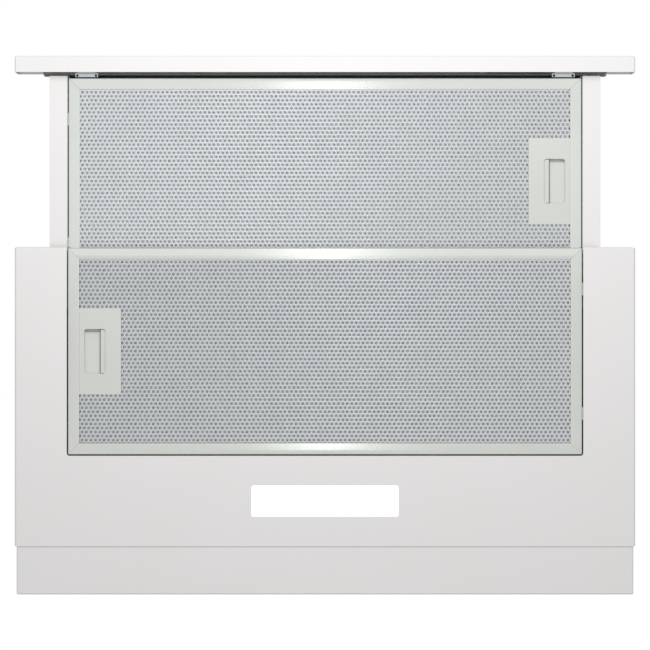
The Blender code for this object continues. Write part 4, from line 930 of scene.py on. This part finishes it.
for wall_y, outward in ((box_low.y, -1), (box_high.y, 1)):
    low_y, high_y = sorted((wall_y - outward * BEAD_DEEP, wall_y + outward * 0.0010))
    for side in (-1, 1):
        low_x, high_x = sorted((side * 0.045, side * 0.215))
        for level in wall_levels:
            fuse(fan_box, rounded_box("wall_bead", (low_x, low_y, level - BEAD_HALF),
                                      (high_x, high_y, level + BEAD_HALF), BEAD_ROUND, axis=1))
        low_x, high_x = sorted((side * (box_high.x - 0.0025), side * (box_high.x - 0.018)))
        fuse(fan_box, rounded_box("corner_lap", (low_x, low_y, 0.006), (high_x, high_y, box_high.z - 0.006),
                                  0.003, axis=1))
round_edges(fan_box, 0.0004)
rivets = []
for wall_y, outward in ((box_low.y, -1), (box_high.y, 1)):
    for x in (-box_high.x + 0.010, box_high.x - 0.010):
        for level in (0.018, 0.060, 0.102, 0.144):
            rivet = add_rod("rivet", (x, wall_y, level), (x, wall_y + outward * 0.0021, level), 0.0024, 20)
            round_edges(rivet, 0.0007, 3)
            rivets.append(rivet)
join(fan_box, *rivets)
fit(fan_box, zinc, "hood", "galvanised_steel", "upper_box")


# ---- Cable gland -------------------------------------------------------------------------------
# A black nylon gland for the supply cable: a threaded tube with a hexagon above the roof, a domed cap
# that squeezes the cable, and a nut below.
gland = upright("cable_gland_body", gland_mid, gland_low.z, gland_high.z, 0.006, 40)
nut_top = box_high.z + 0.0055
under_roof = box_high.z - SHEET
for start, end in ((box_high.z + 0.0003, nut_top), (under_roof - 0.0055, under_roof - 0.0003)):
    fuse(gland, upright("hexagon", gland_mid, start, end, 0.009, 6))
cap = upright("squeeze_cap", gland_mid, nut_top, gland_high.z, 0.0078, 40)
enter_edit()
select_faces(lambda middle, normal: normal.z > 0.9)
bpy.ops.mesh.bevel(offset=0.0018, segments=4, affect="EDGES")
leave_edit()
fuse(gland, cap)
cut_out(gland, upright("cable_bore", gland_mid, gland_low.z - 0.001, gland_high.z + 0.001, 0.0036, 32))
round_edges(gland, 0.0003)
fit(gland, black_abs, "hood", "black_plastic", "cable_gland")


# ---- Outlet collar and flaps -------------------------------------------------------------------
# A moulded spigot for a 120 mm duct: a flange screwed to the roof, a wall with two sealing ridges, and
# an inner ledge on which two ribbed flaps rest until the fan blows them up.
FLAP_SHEET = 0.0015
collar = upright("outlet_spigot", collar_mid, collar_low.z, collar_high.z, 0.0592, FINE)
fuse(collar, upright("foot_flange", collar_mid, collar_low.z, collar_low.z + 0.002, 0.0658, FINE))
for level in (collar_low.z + 0.020, collar_low.z + 0.027):
    fuse(collar, upright("sealing_ridge", collar_mid, level, level + 0.0016, 0.0598, FINE))
ledge_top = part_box("damper_flap_front")[0].z - PLAY
cut_out(collar, upright("air_way", collar_mid, collar_low.z - 0.001, collar_high.z + 0.001, BORE, FINE))
ledge_ring = upright("flap_ledge", collar_mid, ledge_top - 0.0015, ledge_top, BORE + 0.0002, FINE)
cut_out(ledge_ring, upright("air_way", collar_mid, ledge_top - 0.01, ledge_top + 0.01, 0.0552, FINE))
fuse(collar, ledge_ring)
pivot_z = ledge_top + PLAY + FLAP_SHEET + 0.0005
for offset in (-0.0025, 0.0025):
    cut_out(collar, add_rod("pivot_hole", (-0.07, collar_mid.y + offset, pivot_z),
                            (0.07, collar_mid.y + offset, pivot_z), 0.0018, 24))
round_edges(collar, 0.0004)
screws = []
for number in range(4):
    turn = math.radians(45 + 90 * number)
    spot = Vector((*collar_mid.xy, collar_low.z)) + 0.0625 * Vector((math.cos(turn), math.sin(turn), 0))
    head = upright("flange_screw", spot, spot.z + 0.001, spot.z + 0.0036, 0.0028)
    for reach in (Vector((0.0016, 0.0003, 0)), Vector((0.0003, 0.0016, 0))):
        cut_out(head, add_box("cross_recess", spot - reach + Vector((0, 0, 0.0028)),
                              spot + reach + Vector((0, 0, 0.005))))
    round_edges(head, 0.0004)
    screws.append(head)
collar_screws = screws[0]
join(collar_screws, *screws[1:])
collar_screws.name = "collar_screws"
fit(collar, black_abs, "hood", "black_plastic", "outlet_collar")
fit(collar_screws, bright_steel, "hood", "spring_steel")

FLAP_RADIUS = 0.0568
for word, side in (("front", -1), ("rear", 1)):
    flap_low, flap_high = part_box("damper_flap_" + word)
    axle_y = collar_mid.y + side * 0.0025
    flap = add_rod("non_return_flap_" + word, (0, collar_mid.y, ledge_top + PLAY),
                   (0, collar_mid.y, ledge_top + PLAY + FLAP_SHEET), FLAP_RADIUS, FINE)
    low_y, high_y = sorted((axle_y, collar_mid.y - side * 0.07))
    cut_out(flap, add_box("other_half", (-0.07, low_y, ledge_top - 0.01), (0.07, high_y, ledge_top + 0.01)))
    fuse(flap, add_rod("axle", (flap_low.x, axle_y, pivot_z), (flap_high.x, axle_y, pivot_z), 0.0015))
    for x in (-0.030, 0.0, 0.030):
        reach = math.sqrt(FLAP_RADIUS ** 2 - x ** 2) - 0.004
        low_y, high_y = sorted((axle_y, collar_mid.y + side * reach))
        fuse(flap, rounded_box("flap_rib", (x - 0.0006, low_y, ledge_top + 0.0012),
                               (x + 0.0006, high_y, ledge_top + 0.0030), 0.0005))
    round_edges(flap, 0.0002)
    fit(flap, black_abs, word + "_flap", "black_plastic", "damper_flap_" + word)


# ---- Fan and electrics inside the box ----------------------------------------------------------
# A double-inlet blower in a moulded casing, driven by a capacitor motor in a drawn steel can that
# hangs on a three-armed zinc bracket, and a grey box for the electronics under the roof.
casing_plastic = moulded_plastic("moulded_polypropylene_dark_grey", "2B2D2F", "303234", 0.5)
wheel_plastic = moulded_plastic("moulded_polyamide_black", "17181A", "1C1D1F", 0.4)
motor_can = plated_steel("drawn_steel_motor_can", "AEB2B5", "A2A6AA", 0.36)
green_board, tree, shader = start_material("green_solder_mask", "1F5A35", 0.35)
place = add_node(tree, "TexCoord").outputs["Object"]
tracks = add_node(tree, "TexVoronoi", {"Vector": place, "Scale": 1 / 0.004}, distance="MANHATTAN",
                  feature="DISTANCE_TO_EDGE")
vary_spots(tree, shader, tracks.outputs["Distance"], "3B8A55", 0.05, "1F5A35", 0.08)
for names, material in ((("scroll_half_left", "scroll_half_right"), casing_plastic),
                        (("impeller",), wheel_plastic), (("hub_nut", "motor_shaft"), bright_steel),
                        (("motor_body",), motor_can), (("motor_bracket",), zinc),
                        (("control_box", "control_box_lid"), grey_abs), (("control_board",), green_board),
                        (("capacitor",), white_abs)):
    for name in names:
        coat_node(name, material)


# ---- Studio ------------------------------------------------------------------------------------
# A pale matt floor far below, which throws a soft overhead sun back up, and white surroundings. Under the
# front hang a panel that lights paint and one that only metal mirrors, and a weak strip of the same kind
# runs along the middle.
FLOOR_Z, FLOOR_RADIUS = -9.0, 6.65
bpy.ops.mesh.primitive_circle_add(vertices=FINE, radius=FLOOR_RADIUS, fill_type="NGON",
                                  location=(0, 0, FLOOR_Z))
floor = bpy.context.object
floor.name = "studio_floor"
floor_paint, tree, shader = start_material("pale_floor_paint", "E6E6E6", 0.9)
floor.data.materials.append(floor_paint)
floor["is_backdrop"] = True

world = bpy.data.worlds.new("white_studio")
bpy.context.scene.world = world
world.use_nodes = True
tree = world.node_tree
background = tree.nodes["Background"]
seen = add_node(tree, "LightPath").outputs["Is Camera Ray"]
level = add_node(tree, "MapRange", {"Value": seen, "To Min": 0.42, "To Max": 1.0})
tree.links.new(level.outputs["Result"], background.inputs["Strength"])
background.inputs["Color"].default_value = (1, 1, 1, 1)


def add_area_light(name, place, width, depth, watts, on):
    """A soft light that shines straight up, on paint and plastic or only as a reflection in metal."""
    data = bpy.data.lights.new(name, "AREA")
    data.shape = "RECTANGLE"
    data.size = width
    data.size_y = depth
    data.energy = watts
    light = show(bpy.data.objects.new(name, data))
    light.location = place
    light.rotation_euler = Vector((0, 0, 1)).to_track_quat("-Z", "Y").to_euler()
    light.visible_camera = False
    light.visible_glossy = on != "paint"
    light.visible_diffuse = on != "metal"


add_area_light("front_panel", (0, -0.55, -0.88), 0.5, 0.7, 5.75, "paint")
add_area_light("front_reflection", (0, -0.55, -1.0), 1.6, 1.1, 1.0, "metal")
add_area_light("middle_strip", (0, -0.05, -0.95), 0.05, 0.9, 0.225, "metal")
sun = bpy.data.lights.new("overhead", "SUN")
sun.energy = 2.55
sun.angle = math.radians(9)
overhead = show(bpy.data.objects.new("overhead", sun))
overhead.rotation_euler = (math.radians(28), math.radians(18), 0)

camera_data = bpy.data.cameras.new("camera")
camera = show(bpy.data.objects.new("camera", camera_data))
distance, frame_width = 4.2, 0.6264
camera.location = (0, 0.0632, pan_low.z - distance)
camera.rotation_euler = (math.pi, 0, 0)
camera_data.lens = camera_data.sensor_width * distance / frame_width
camera_data.clip_end = 50
bpy.context.scene.camera = camera
bpy.context.scene.view_settings.view_transform = "Standard"

low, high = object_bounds()
